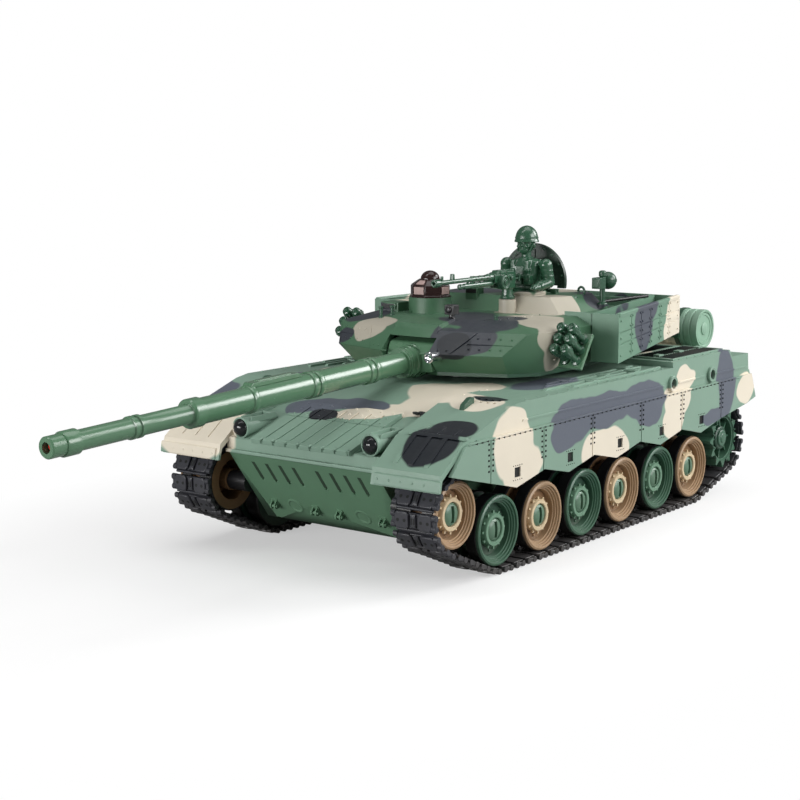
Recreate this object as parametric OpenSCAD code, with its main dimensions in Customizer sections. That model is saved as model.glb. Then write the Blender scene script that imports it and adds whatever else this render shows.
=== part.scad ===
// Remote control toy battle tank with a turning turret, an elevating gun and running gear.
// Millimetres. The front is -Y, the tank's left is +X, the ground is Z = 0.
// Stations are distances behind the front edge of the fenders.

/* [Hull] */
// Overall width over the side skirts
hull_w = 160; // [154:1:172]
// Thickness of a side skirt
skirt_t = 1.6; // [1.2:0.1:2.2]
// Height of a skirt's top edge
skirt_top_z = 62; // [60:0.5:63]
// Depth of a skirt's zigzag lower edge
skirt_zigzag = 4.5; // [2:0.5:6]
// Length of one skirt panel
skirt_panel = 42; // [38:1:46]
// Width of the lower hull tub
tub_w = 84; // [82:1:88]
// Wall of the hull shells
wall = 2.2; // [1.8:0.1:2.6]
// Height of the belly above the ground
belly_z = 13.6; // [13:0.1:13.9]
// Height of the joint between lower and upper hull
parting_z = 47; // [46:0.5:48]
// Underside of the sponsons
sponson_z = 54; // [53:0.5:56]
// Height of the deck around the turret
deck_z = 74; // [72:0.5:78]
// Step from the turret deck up to the engine deck
engine_step = 2.8; // [1.5:0.1:4]
// Station of the front edge of the engine deck
engine_s = 194; // [190:1:198]
// Station of the upright nose band
nose_s = 7; // [6.4:0.2:8]
// Station of the foot of the sloped nose plate
nose_foot_s = 31; // [27:0.5:33]
// Height where the glacis starts
nose_top_z = 53.5; // [52:0.5:55]
// Station where the glacis meets the deck
glacis_end_s = 72; // [68:1:74]
// Height of the lower front edge of the fenders
fender_z = 44; // [43:0.5:46]
// Half width of the slatted glacis plate
slat_half_w = 28; // [24:1:30]
// Thickness of the slatted glacis plate
slat_t = 2.2; // [1.6:0.1:3]

/* [Running gear] */
// Radius of a road wheel
wheel_r = 15.7; // [14.5:0.1:16.4]
// Distance between road wheels
wheel_pitch = 35.2; // [34.6:0.1:36]
// Station of the first road wheel
wheel_first_s = 51.2; // [50.6:0.1:52]
// Radius of the idler
idler_r = 14.6; // [13.6:0.1:15.2]
// Station of the idler
idler_s = 19.5; // [19:0.1:20]
// Height of the idler's axle
idler_z = 31.2; // [30.6:0.1:31.8]
// Radius over the sprocket's teeth
sprocket_r = 15.6; // [14.6:0.1:16]
// Distance from the last road wheel back to the sprocket
sprocket_back = 35.2; // [34.6:0.1:37]
// Height of the sprocket's axle
sprocket_z = 28.6; // [28.4:0.1:30]
// Teeth on a sprocket ring
sprocket_teeth = 12; // [10:1:14]
// Thickness of a track
track_t = 2.8; // [2.6:0.1:3.4]
// Length of a track link
link_pitch = 9.1; // [7:0.1:12]
// Gap between wheels and track
track_gap = 0.3; // [0.2:0.05:0.5]
// Radius of a wheel axle
axle_r = 2; // [1.6:0.1:2.6]
// Radius of a sprocket shaft
shaft_r = 2.5; // [2:0.1:3]
// Radial clearance of a part that turns on a shaft
running_fit = 0.06; // [0.03:0.01:0.1]

/* [Gear train] */
// Module of the drive gears
drive_m = 0.65; // [0.62:0.01:0.66]
// Module of the turret ring gear
ring_m = 1.5; // [1.4:0.02:1.54]
// Face width of the gears
gear_w = 4; // [3:0.1:4.4]
// Radius of a drive motor
motor_r = 10; // [8:0.5:10]
// Length of a drive motor
motor_len = 22; // [18:0.5:22]

/* [Turret] */
// Station of the turret's turning axis
ring_s = 140; // [138:0.5:142]
// Outer radius of the turret's spigot
spigot_r = 32; // [30:0.5:33]
// Gap between turret and deck
turret_gap = 0.4; // [0.3:0.1:0.8]
// Thickness of the turret base plate
base_t = 1.6; // [1.2:0.1:2.2]
// Height of the knife edge of the cheeks above the deck
knife_h = 13.5; // [12:0.5:15]
// Height of the cheek tops above the deck
cheek_h = 23.5; // [22:0.5:26]
// Height of the front roof above the deck
roof_h = 27.5; // [26.5:0.5:29]
// Height of the raised roof above the deck
plateau_h = 35; // [33:0.5:38]
// Half width of the turret body
turret_half_w = 58; // [56:0.5:60]
// Wall of the turret shell
turret_wall = 2; // [1.6:0.1:2.4]
// Half width of the gap for the mantlet
slot_half_w = 13.5; // [12.6:0.1:14.5]
// Outer half width over the stowage baskets
basket_half_w = 73; // [70:0.5:76]
// Station of the baskets' front
basket_s = 150; // [148:0.5:152]
// Station of the baskets' rear
basket_end_s = 240; // [234:1:244]
// Wall of the stowage baskets
basket_wall = 1.6; // [1.2:0.1:2]

/* [Gun] */
// Station of the trunnion
trunnion_s = 97; // [96:0.5:98]
// Height of the trunnion above the deck
trunnion_h = 9.7; // [9.5:0.1:11]
// Resting droop of the gun in degrees
gun_droop = 2.36; // [0:0.1:2.5]
// Length from trunnion to muzzle
barrel_len = 231; // [180:1:240]
// Radius of the thick half of the barrel
barrel_r = 5.4; // [4.5:0.1:5.8]
// Radius of the slim half of the barrel
barrel_tip_r = 3.8; // [3.2:0.1:4.4]
// Radius of the mantlet about the trunnion
mantlet_r = 9; // [8:0.1:9.1]
// Radius of the muzzle lamp
lamp_r = 2.2; // [1.6:0.1:2.6]

/* [Roof fittings] */
// Distance of the commander from the middle plane
crew_x = 12.5; // [10:0.5:15]
// Station of the commander
crew_s = 163; // [161:0.5:164]
// Radius of the commander's hatch hole
hatch_hole_r = 8; // [7.4:0.1:8.6]
// Radius of the hatch cover
hatch_r = 18.5; // [16:0.5:20]
// Thickness of the hatch cover
hatch_t = 2; // [1.4:0.1:2.4]
// Station of the hatch cover's hinge
hatch_s = 176; // [175.6:0.2:178]
// Station of the machine gun's post
mg_s = 146.5; // [145:0.5:147.5]
// Length of the machine gun's barrel
mg_barrel = 47; // [36:1:50]
// Distance of the receiver dome from the middle plane
dome_x = -20; // [-24:0.5:-16]
// Station of the receiver dome
dome_s = 127; // [124:0.5:128]
// Radius of the receiver dome's base
dome_r = 10; // [8:0.5:11]
// Radius of a fuel drum
drum_r = 10.3; // [9:0.1:10.6]
// Length of a fuel drum
drum_len = 48; // [40:1:52]

/* [Hidden] */
$fn = 48;

green = [0.36, 0.50, 0.36];
dark_green = [0.20, 0.30, 0.21];
cream = [0.82, 0.80, 0.66];
tan_brown = [0.62, 0.50, 0.33];
steel = [0.70, 0.70, 0.72];
black = [0.10, 0.10, 0.10];

// Running gear stations and heights
wheel_z = track_t + track_gap + wheel_r;
wheel_last_s = wheel_first_s + 5 * wheel_pitch;
sprocket_s = wheel_last_s + sprocket_back;
rear_s = sprocket_s + 15.6;
flap_s = sprocket_s + 23.6;
side_x = hull_w / 2 - skirt_t;
track_out_x = hull_w / 2 - 4.8;
track_in_x = tub_w / 2 + 10;
wheel_out_x = track_out_x - 2.2;
wheel_in_x = tub_w / 2 + 11;
wheel_w = wheel_out_x - wheel_in_x;
axle_end = 4.6;
shoulder_end_x = wheel_in_x - 0.3;
shoulder_r = 4.5;
tub_in_x = tub_w / 2 - wall;
mid_x = tub_w / 2 + wall;
floor_z = belly_z + wall;
deck_under_z = deck_z - wall;
engine_z = deck_z + engine_step;
engine_end_s = rear_s - 22.3;
rear_deck_z = deck_z - 1;
loose = 0.3;
sink = 0.5;

// Turret levels, all taken from the deck
base_z = engine_z + turret_gap;
shell_z = base_z + base_t;
knife_z = deck_z + knife_h;
cheek_z = deck_z + cheek_h;
roof_z = deck_z + roof_h;
plateau_z = deck_z + plateau_h;
trunnion_z = deck_z + trunnion_h;
plateau_under_z = plateau_z - turret_wall;
ring_teeth = 48;
pinion_teeth = 10;
ring_pitch_r = ring_teeth * ring_m / 2;
turret_pinion_s = ring_s + (ring_teeth + pinion_teeth) * ring_m / 2;
ring_gear_z = deck_under_z - 1 - gear_w;
spigot_end_z = ring_gear_z + gear_w;
pivot_r = 2;

// Muzzle and overall middle of the object
muzzle_r = barrel_tip_r + 1;
muzzle_s = trunnion_s - barrel_len * cos(gun_droop) - barrel_tip_r * sin(gun_droop);
mid_s = (muzzle_s + flap_s) / 2;

// Drive gear train of one side
output_teeth = 36;
large_teeth = 30;
small_teeth = 10;
compound_s = sprocket_s - (output_teeth + small_teeth) * drive_m / 2;
pinion_s = compound_s - (large_teeth + small_teeth) * drive_m / 2;
plate_x = motor_len + 1.6;
plate_t = 2;
large_x = plate_x + plate_t + loose;
small_x = large_x + gear_w;
pin_r = 1.5;
motor_shaft_r = 1;

// Gun elevation gear
elev_m = 0.7;
sector_teeth = 40;
elev_pinion_s = trunnion_s + (sector_teeth + small_teeth) * elev_m / 2;
elev_x = 1;
elev_motor_r = 4.2;

// Hull screw posts: distance from the middle plane and stations
post_x = tub_in_x - 4.6;
post_s = [34, 200];
post_r = 3.4;
screw_r = 1.5;

// Battery, board and speaker places
cell_r = 7.2;
cell_len = 50;
battery_s = 112;
door_w = cell_len + 4;
door_l = 8 * cell_r + 2;
board_s = 30;
board_l = 62;
board_w = 44;
board_z = floor_z + 11;
speaker_s = 188;
speaker_r = 13;
switch_s = 104;
switch_travel = 4;

function at(a, r) = r * [cos(a), sin(a)];
function turned(p, a) = [p[0] * cos(a) - p[1] * sin(a), p[0] * sin(a) + p[1] * cos(a)];
function flipped(h) = [for (i = [len(h) - 1 : -1 : 0]) [-h[i][0], h[i][1]]];
function ring(h, z) = [for (p = concat(h, flipped(h))) [p[0], p[1], z]];

// Involute gear outline, with a tooth centred on angle 0
function roll(rb, r) = r <= rb ? 0 : let(t = sqrt(pow(r / rb, 2) - 1)) t * 180 / PI - atan(t);
function gear_half(n, m, r) =
    let(rp = n * m / 2, rb = rp * cos(25), slack = 0.07 / rp * 180 / PI)
    90 / n - slack + roll(rb, rp) - roll(rb, r);
function gear_radii(n, m) =
    let(rp = n * m / 2, rb = rp * cos(25), ra = rp + 0.8 * m, rf = rp - 1.05 * m, r0 = max(rb, rf + 0.01))
    [rf, r0, r0 + (ra - r0) * 0.35, r0 + (ra - r0) * 0.7, ra];
function gear_points(n, m) =
    let(rr = gear_radii(n, m))
    [for (k = [0 : n - 1], side = [-1, 1], i = [0 : 4])
        let(j = side < 0 ? i : 4 - i)
        at(360 * k / n + side * gear_half(n, m, rr[j]), rr[j])];

// Track loop round idler, sprocket, last and first road wheel, seen from the left
loop_c = [[idler_s, idler_z], [sprocket_s, sprocket_z], [wheel_last_s, wheel_z], [wheel_first_s, wheel_z]];
loop_r = [idler_r + track_gap, sprocket_r + track_gap, wheel_r + track_gap, wheel_r + track_gap];
function run_vec(i) = loop_c[(i + 1) % 4] - loop_c[i];
function run_drop(i) = loop_r[i] - loop_r[(i + 1) % 4];
function run_len(i) = sqrt(pow(norm(run_vec(i)), 2) - pow(run_drop(i), 2));
function run_normal(i) = atan2(run_vec(i)[1], run_vec(i)[0]) + acos(run_drop(i) / norm(run_vec(i)));
function wrap(i) = ((run_normal((i + 3) % 4) - run_normal(i)) % 360 + 360) % 360;
function leg_len(k) =
    let(i = floor(k / 2))
    k % 2 == 0 ? wrap(i) * PI / 180 * (loop_r[i] + track_t) : run_len(i);
function leg_at(s, k) = (k == 7 || s <= leg_len(k)) ? [k, s] : leg_at(s - leg_len(k), k + 1);
function track_point(s, out) =
    let(q = leg_at(s, 0), k = q[0], i = floor(k / 2))
    k % 2 == 0
    ? loop_c[i] + at(run_normal((i + 3) % 4) - q[1] / leg_len(k) * wrap(i), loop_r[i] + out)
    : loop_c[i] + at(run_normal(i), loop_r[i] + out) + q[1] * at(run_normal(i) - 90, 1);
loop_len = leg_len(0) + leg_len(1) + leg_len(2) + leg_len(3)
    + leg_len(4) + leg_len(5) + leg_len(6) + leg_len(7);
link_n = round(loop_len / link_pitch);
link_marks = [[0.04, 0.55], [0.1, 1], [0.9, 1], [0.96, 0.55]];
track_outer = [for (k = [0 : link_n - 1], m = link_marks)
    track_point((k + m[0]) * loop_len / link_n, m[1] * track_t)];
track_inner = [for (i = [0 : 3], k = [0 : 20])
    loop_c[i] + at(run_normal((i + 3) % 4) - k / 20 * wrap(i), loop_r[i])];

// Hull outlines, as station and height
glacis_slope = atan2(deck_z - nose_top_z, glacis_end_s - nose_s);
fender_curve = [[0, fender_z], [1.4, 51.2], [16.6, 62.3], [29.2, 65.8], [49.8, deck_z - 1.3], [58, deck_z]];
function under(p) = p + [0.5 * wall, -wall];
rear_curve = [
    [engine_s, deck_z], [engine_s, engine_z], [engine_end_s, engine_z],
    [engine_end_s + 2, rear_deck_z], [rear_s - 1, rear_deck_z], [rear_s, 64]
];
rear_under = [
    [rear_s - wall, sponson_z + wall], [rear_s - wall, 63], [rear_s - wall - 1, rear_deck_z - wall],
    [engine_end_s, deck_under_z], [58.5, deck_under_z], under(fender_curve[4]),
    [29, 62], [29, sponson_z + wall]
];
nose_top_s = nose_s - 1;
nose_lean = atan2(nose_foot_s - nose_top_s, parting_z - belly_z);
nose_wall = wall / cos(nose_lean);
tub_curve = [
    [nose_top_s, parting_z], [nose_foot_s, belly_z], [rear_s - 4, belly_z],
    [rear_s, belly_z + 10], [rear_s, parting_z]
];
tub_hollow = [
    [nose_top_s + nose_wall, parting_z], [nose_top_s + nose_wall, parting_z + 1],
    [rear_s - wall, parting_z + 1],
    [rear_s - wall, belly_z + 10.5], [rear_s - 4 - 0.4 * wall, floor_z],
    [nose_foot_s + nose_wall - wall * tan(nose_lean), floor_z]
];

// Turret outlines: half plans from front to rear at each level
side_taper = 12 / 66;
body_end_s = 216;
function wall_x(s) = turret_half_w - (s - basket_s) * side_taper;
side_end = [[turret_half_w, 112], [turret_half_w, basket_s], [wall_x(body_end_s), body_end_s]];
knife_half = concat([[9, 78], [47.8, 90]], side_end);
cheek_half = concat([[9.6, 88.7], [55, 101]], side_end);
base_half = [
    [slot_half_w + 1, 87], [45, 98.5], [turret_half_w - 4, 112],
    [turret_half_w - 4, basket_s], [wall_x(212) - 4, 212]
];
roof_half = [[12, 104], [34, 112], [48, 125], [turret_half_w - 8, basket_s], [wall_x(205) - 7, 205]];
plateau_low = [[30, 147], [40, 151], [44, 165], [44, 190], [34, 204]];
plateau_top = [[24, 153], [31, 156], [35.5, 167], [35.5, 188], [27, 197]];
function inset(h, d) = [for (i = [0 : len(h) - 1])
    [h[i][0] - (i == 0 ? 0 : d), h[i][1] + (i < 2 ? 1.5 * d : i == len(h) - 1 ? -d : 0)]];

module hull_side(x0, x1) {
    translate([x0, 0, 0]) rotate([90, 0, 90]) linear_extrude(x1 - x0) children();
}
module in_frame() {
    translate([0, -mid_s, 0]) children();
}
module on_side(side) {
    if (side > 0) children();
    else mirror([1, 0, 0]) children();
}
module both() {
    children();
    mirror([1, 0, 0]) children();
}
module rod_x(x0, x1, s, z, r) {
    translate([x0, s, z]) rotate([0, 90, 0]) cylinder(h = x1 - x0, r = r);
}
module block(x0, x1, y0, y1, z0, z1) {
    translate([x0, y0, z0]) cube([x1 - x0, y1 - y0, z1 - z0]);
}
module loft(rings) {
    n = len(rings[0]);
    m = len(rings);
    points = [for (r = rings, p = r) p];
    sides = [for (k = [0 : m - 2], i = [0 : n - 1], h = [0, 1])
        let(a = k * n + i, b = k * n + (i + 1) % n)
        h == 0 ? [a, a + n, b] : [b, a + n, b + n]];
    bottom = [for (i = [0 : n - 1]) i];
    top = [for (i = [n - 1 : -1 : 0]) (m - 1) * n + i];
    polyhedron(points, concat(sides, [bottom, top]));
}
module gear_x(n, m, x0, w, s, z, phase, bore) {
    translate([x0, s, z]) difference() {
        rotate([90, 0, 90]) linear_extrude(w) rotate(phase) polygon(gear_points(n, m));
        rod_x(-1, w + 1, 0, 0, bore);
    }
}

// Lower hull tub: nose plate with slots and hooks, posts and floor openings
module lower_hull() {
    color(green) difference() {
        union() {
            difference() {
                hull_side(-tub_w / 2, tub_w / 2) polygon(tub_curve);
                hull_side(-tub_in_x, tub_in_x) polygon(tub_hollow);
            }
            tow_hooks();
            both() {
                for (s = post_s)
                    translate([post_x, s, belly_z + 0.6]) cylinder(h = parting_z - belly_z - 0.6, r = post_r);
                for (s = [board_s + 4, board_s + board_l - 4])
                    translate([board_w / 2 - 4, s, floor_z - sink])
                        cylinder(h = board_z - floor_z + sink, r = 2.6);
                block(door_w / 2 + 1, door_w / 2 + 2.6, battery_s - 1, battery_s + door_l + 1,
                    floor_z - sink, floor_z + 9);
                block(4, 5.6, switch_s - 6, switch_s + 9, floor_z - sink, floor_z + 2.2);
            }
        }
        both() {
            for (k = [0 : 5])
                rod_x(tub_in_x - 1, tub_w / 2 + 1, wheel_first_s + k * wheel_pitch, wheel_z,
                    axle_r + running_fit);
            rod_x(tub_in_x - 1, tub_w / 2 + 1, sprocket_s, sprocket_z, shaft_r + running_fit);
            for (s = post_s) {
                translate([post_x, s, 0]) cylinder(h = parting_z + 1, r = screw_r + running_fit);
                translate([post_x, s, 0]) cylinder(h = belly_z + 2.5, r = 2 * screw_r + loose);
            }
        }
        nose_slots();
        block(-door_w / 2, door_w / 2, battery_s, battery_s + door_l, 0, floor_z + 1);
        block(-2.6, 2.6, switch_s - 3.2, switch_s + 3.2 + switch_travel, 0, floor_z + 1);
        for (k = [-2 : 2]) block(-8, 8, speaker_s + 4 * k - 0.8, speaker_s + 4 * k + 0.8, 0, floor_z + 1);
    }
}
module on_nose() {
    translate([0, nose_foot_s, belly_z]) rotate([nose_lean, 0, 0]) children();
}
module tow_hooks() {
    both() for (x = [7, 31.3]) on_nose() difference() {
        translate([x, 0, 10.5]) block(-1.4, 1.4, -4, 1, -2.6, 2.6);
        translate([x, 0, 10.5]) rod_x(-3, 3, -2, 0, 1.2);
    }
}
module nose_slots() {
    both() for (k = [0 : 3]) on_nose()
        translate([6.7 + 7.85 * k, 0, 0]) block(-0.7, 0.7, -1, 0.9, 25.5, 37);
}

// Upper hull: glacis, fenders, sponsons, decks, lamp housings and the turret motor's shelf
module upper_hull() {
    color(green) difference() {
        union() {
            difference() {
                hull_side(-mid_x, mid_x) polygon(concat(
                    [[nose_s, parting_z], [nose_s, nose_top_z], [glacis_end_s, deck_z]],
                    rear_curve, [[rear_s, parting_z]]));
                hull_side(-tub_in_x, tub_in_x) polygon(concat(
                    [[nose_s + wall, parting_z - 1], [nose_s + wall, nose_top_z - 0.7 * wall],
                     [glacis_end_s + 0.4, deck_under_z],
                     [engine_end_s, deck_under_z], [rear_s - wall - 1, rear_deck_z - wall],
                     [rear_s - wall, 63]],
                    [[rear_s - wall, parting_z - 1]]));
            }
            both() {
                sponson();
                lamp_housing();
                mud_flap();
                for (s = port_s) rod_x(side_x - sink, hull_w / 2, s, port_z, port_r);
                translate([post_x, post_s[0], parting_z])
                    cylinder(h = nose_top_z + 7 - parting_z, r = post_r);
                translate([post_x, post_s[1], parting_z]) cylinder(h = deck_z + 0.5 - parting_z, r = post_r);
                for (s = [turret_pinion_s + 2, turret_pinion_s + 8])
                    translate([12, s, deck_under_z - 9]) cylinder(h = 9 + sink, r = 2.4);
            }
            fender_stripes(0.7, 2.2);
            block(-14.4, 14.4, turret_pinion_s - 5, turret_pinion_s + 10.4,
                deck_under_z - 10, deck_under_z - 8);
        }
        both() {
            for (s = port_s) rod_x(side_x - wall + sink, hull_w / 2 + 1, s, port_z, port_r - 1.3);
            for (s = post_s)
                translate([post_x, s, parting_z - 1]) cylinder(h = 10, r = screw_r + running_fit);
            translate([lamp_x, lamp_s, lamp_z]) rotate([90, 0, 0]) cylinder(h = 4, r = 3.5, center = true);
        }
        both() block(grille_x, grille_x + grille_w, engine_s + 4, engine_end_s - 4,
            engine_z - grille_t, engine_z + 1);
        mirror([1, 0, 0]) translate([0, 0, 0.1]) fender_stripes(1, 0.9);
        translate([0, ring_s, 0]) cylinder(h = deck_z + 5, r = spigot_r + loose, $fn = 96);
        translate([0, turret_pinion_s, deck_under_z - 12]) cylinder(h = 6, r = motor_shaft_r + running_fit);
    }
}
port_s = [192.7, 234];
port_z = skirt_top_z + 4.4;
port_r = 3.8;
lamp_x = 36.9;
lamp_s = 9.4;
lamp_z = 58.3;
module lamp_housing() {
    translate([lamp_x, lamp_s, lamp_z]) rotate([-90, 0, 0]) {
        cylinder(h = 6, r = 4.3);
        translate([0, 0, 6]) cylinder(h = 12, r1 = 4.3, r2 = 2);
    }
    block(lamp_x - 2, lamp_x + 2, lamp_s + 1, lamp_s + 9, nose_top_z, lamp_z);
}
module sponson() {
    difference() {
        hull_side(mid_x - 1, side_x) polygon(concat(
            fender_curve, rear_curve, [[rear_s, sponson_z], [26.5, sponson_z], [26.5, 62.5]],
            [under(fender_curve[2]), under(fender_curve[1]), [0.5 * wall, fender_z]]));
        hull_side(mid_x, side_x - wall) polygon(rear_under);
    }
}
module fender_stripes(height, w) {
    for (x = [53, 61, 69]) hull_side(x - w / 2, x + w / 2) polygon([
        [4, 53.1 - 0.6], [16.6, 62.3 - 0.6], [28, 65.5 - 0.6],
        [28, 65.5 + height], [16.6, 62.3 + height], [4, 53.1 + height]]);
}
module mud_flap() {
    hull_side(tub_w / 2 + 6, side_x) polygon([
        [rear_s - sink, 64], [flap_s - 7, 64], [flap_s, 48],
        [flap_s - 1.5, 47.6], [flap_s - 8, 62.4], [rear_s - sink, 62.4]
    ]);
}

// Slatted armour plate on the glacis
module glacis_armour() {
    color(green) translate([0, nose_s, nose_top_z]) rotate([glacis_slope, 0, 0]) difference() {
        block(-slat_half_w, slat_half_w, -1.9, 38, 0, slat_t);
        for (k = [1 : 7])
            translate([-slat_half_w + k * slat_half_w / 4, 0, slat_t - 1]) block(-0.5, 0.5, -3, 33, 0, 2);
    }
}

// Side skirt with a zigzag lower edge
module side_skirt(side) {
    first = 34;
    peak_z = skirt_top_z - 19.5;
    lower = [for (k = [5 : -1 : 0]) each [
        [first + k * skirt_panel, peak_z],
        [first + (k - 0.5) * skirt_panel - 1, peak_z - skirt_zigzag]]];
    color(green) on_side(side) hull_side(side_x, hull_w / 2) polygon(concat(
        [[6.3, 50], [16, 60.5], [21, skirt_top_z], [flap_s - 7, skirt_top_z], [flap_s - 1.6, 49]],
        [[rear_s - 4, skirt_top_z - 15.4]],
        [for (i = [0 : 9]) lower[i]],
        [[first, peak_z + 0.5]]));
}

// Track with link pads
module track(side) {
    count = len(track_outer);
    color(black) on_side(side) hull_side(track_in_x, track_out_x) polygon(
        concat(track_outer, track_inner),
        [[for (i = [0 : count - 1]) i], [for (i = [0 : len(track_inner) - 1]) count + i]]);
}

// Fixed axles of road wheels and idlers, with shoulders, and the sprocket bearings
module wheel_axles() {
    color(black) both() {
        for (k = [0 : 5]) {
            axle(wheel_first_s + k * wheel_pitch, wheel_z);
            rod_x(tub_in_x - 2, tub_in_x, wheel_first_s + k * wheel_pitch, wheel_z, axle_r + 0.9);
            rod_x(tub_in_x - 1, tub_w / 2 + 1, wheel_first_s + k * wheel_pitch, wheel_z, axle_r);
        }
        axle(idler_s, idler_z);
        difference() {
            rod_x(tub_w / 2, shoulder_end_x, sprocket_s, sprocket_z, shoulder_r + 0.5);
            rod_x(tub_w / 2 - 1, wheel_in_x, sprocket_s, sprocket_z, shaft_r + running_fit);
        }
    }
}
module axle(s, z) {
    rod_x(tub_w / 2, shoulder_end_x, s, z, shoulder_r);
    rod_x(tub_w / 2 + 1, wheel_out_x - axle_end - 0.6, s, z, axle_r);
}

// Dished wheel with a guide groove, a hub ring and a slotted hub cap
module wheel(side, r, s, z, tone) {
    hub = axle_r + running_fit;
    mid = wheel_w / 2;
    on_side(side) translate([wheel_in_x, s, z]) {
        color(tone) rotate([0, 90, 0]) rotate_extrude($fn = 72) polygon([
            [hub, 0], [5, 0], [5, mid + 2], [r - 5.2, mid + 2], [r - 5.2, 0],
            [r, 0], [r, mid - 2.5], [r - 3.2, mid - 2.5], [r - 3.2, mid + 2.5], [r, mid + 2.5],
            [r, wheel_w - 0.6], [r - 0.6, wheel_w], [r - 1.5, wheel_w], [r - 3, wheel_w - 2.4],
            [r - 3.8, wheel_w - 3], [r - 3.8, wheel_w - 5.6], [7.2, wheel_w - 5.6], [7.2, wheel_w - 2.2],
            [5.2, wheel_w - 2.2], [5.2, wheel_w - axle_end], [hub, wheel_w - axle_end]
        ]);
        color(green) hub_cap();
    }
}
module hub_cap() {
    translate([wheel_w - axle_end, 0, 0]) difference() {
        rotate([0, 90, 0]) rotate_extrude()
            polygon([[0, 0], [4.9, 0], [4.9, 2], [3.6, 3], [1.8, 3.5], [0, 3.6]]);
        block(2.4, 5, -0.8, 0.8, -3, 3);
    }
}

// Sprocket with two toothed rings, its shaft and the output gear
module sprocket(side) {
    tooth = 360 / sprocket_teeth;
    rim = [for (k = [0 : sprocket_teeth - 1],
                q = [[-0.5, 0.08], [-0.3, 0], [-0.2, 0.16], [-0.08, 0.95], [0, 1],
                     [0.08, 0.95], [0.2, 0.16], [0.3, 0]])
        at((k + q[0]) * tooth, sprocket_r - 3.2 + 3.2 * q[1])];
    core = sprocket_r - 3.2;
    on_side(side) translate([0, sprocket_s, sprocket_z]) {
        color(green) difference() {
            union() {
                for (x = [wheel_in_x + 3, wheel_out_x - 2.6]) hull_side(x, x + 2.6) polygon(rim);
                translate([wheel_in_x, 0, 0]) rotate([0, 90, 0]) rotate_extrude($fn = 72) polygon([
                    [0, 1], [core - 0.2, 1], [core - 0.2, wheel_w - 0.4], [core - 1.6, wheel_w - 0.4],
                    [core - 2.8, wheel_w - 6.5], [7, wheel_w - 6.5], [6.6, wheel_w - 3],
                    [4.6, wheel_w - 1.6], [0, wheel_w - 1.6]
                ]);
            }
            rod_x(wheel_out_x - 7, wheel_out_x + 1, 0, 0, 0.9);
            for (k = [0 : 7]) rotate([45 * k, 0, 0]) rod_x(wheel_out_x - 9, wheel_out_x - 1, 8.4, 0, 0.7);
        }
        color(steel) rod_x(plate_x + 0.1, wheel_in_x + 0.98, 0, 0, shaft_r);
    }
    color(cream) on_side(side)
        gear_x(output_teeth, drive_m, small_x, gear_w, sprocket_s, sprocket_z, 180, shaft_r + 0.01);
}

// Compound gear turning on the gearbox pin
module compound_gear(side) {
    color(cream) on_side(side) {
        gear_x(large_teeth, drive_m, large_x, gear_w - loose, compound_s, sprocket_z,
            180, pin_r + running_fit);
        gear_x(small_teeth, drive_m, large_x + gear_w - loose - 0.01, gear_w + 0.31, compound_s, sprocket_z,
            180 / small_teeth, pin_r + running_fit);
    }
}

// Motor pinion with its shaft
module motor_pinion(side) {
    color(steel) on_side(side) {
        gear_x(small_teeth, drive_m, large_x, gear_w - loose, pinion_s, sprocket_z,
            180 / small_teeth, motor_shaft_r - 0.2);
        rod_x(plate_x - 6, large_x + gear_w - loose, pinion_s, sprocket_z, motor_shaft_r);
    }
}

// Gearbox plates stand on the floor and carry shaft, pin and motor
module gearbox_plates() {
    color(dark_green) both() {
        difference() {
            union() {
                block(plate_x, plate_x + plate_t, pinion_s - 12, sprocket_s + 8, floor_z, sprocket_z + 13);
                block(plate_x - 6, plate_x + 0.5, pinion_s + 11, sprocket_s + 8, floor_z, floor_z + 2);
            }
            rod_x(plate_x - 1, plate_x + plate_t + 1, sprocket_s, sprocket_z, shaft_r + running_fit);
            rod_x(plate_x - 1, plate_x + plate_t + 1, pinion_s, sprocket_z, motor_shaft_r + 0.8);
        }
        rod_x(plate_x + 1, small_x + gear_w + 2, compound_s, sprocket_z, pin_r);
    }
}

// Two drive motors and the turret motor
module motors() {
    color(steel) {
        both() difference() {
            rod_x(plate_x - motor_len, plate_x, pinion_s, sprocket_z, motor_r);
            rod_x(plate_x - 7, plate_x + 1, pinion_s, sprocket_z, motor_shaft_r + running_fit);
        }
        difference() {
            translate([0, turret_pinion_s, deck_under_z - 30]) cylinder(h = 20, r = 7.5);
            translate([0, turret_pinion_s, deck_under_z - 16])
                cylinder(h = 7, r = motor_shaft_r + running_fit);
        }
    }
}

// Turret motor pinion with its shaft
module turret_pinion() {
    color(steel) translate([0, turret_pinion_s, ring_gear_z]) {
        linear_extrude(gear_w) rotate(-90 + 180 / pinion_teeth) polygon(gear_points(pinion_teeth, ring_m));
        translate([0, 0, deck_under_z - 15 - ring_gear_z])
            cylinder(h = ring_gear_z - deck_under_z + 15.5, r = motor_shaft_r);
    }
}

// Headlight lenses
module headlight_lenses() {
    color(steel) both() translate([lamp_x, lamp_s + 2, lamp_z]) rotate([90, 0, 0])
        rotate_extrude() polygon([[0, 0], [3.4, 0], [3.4, 1.6], [2.2, 2.3], [0, 2.6]]);
}

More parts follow.
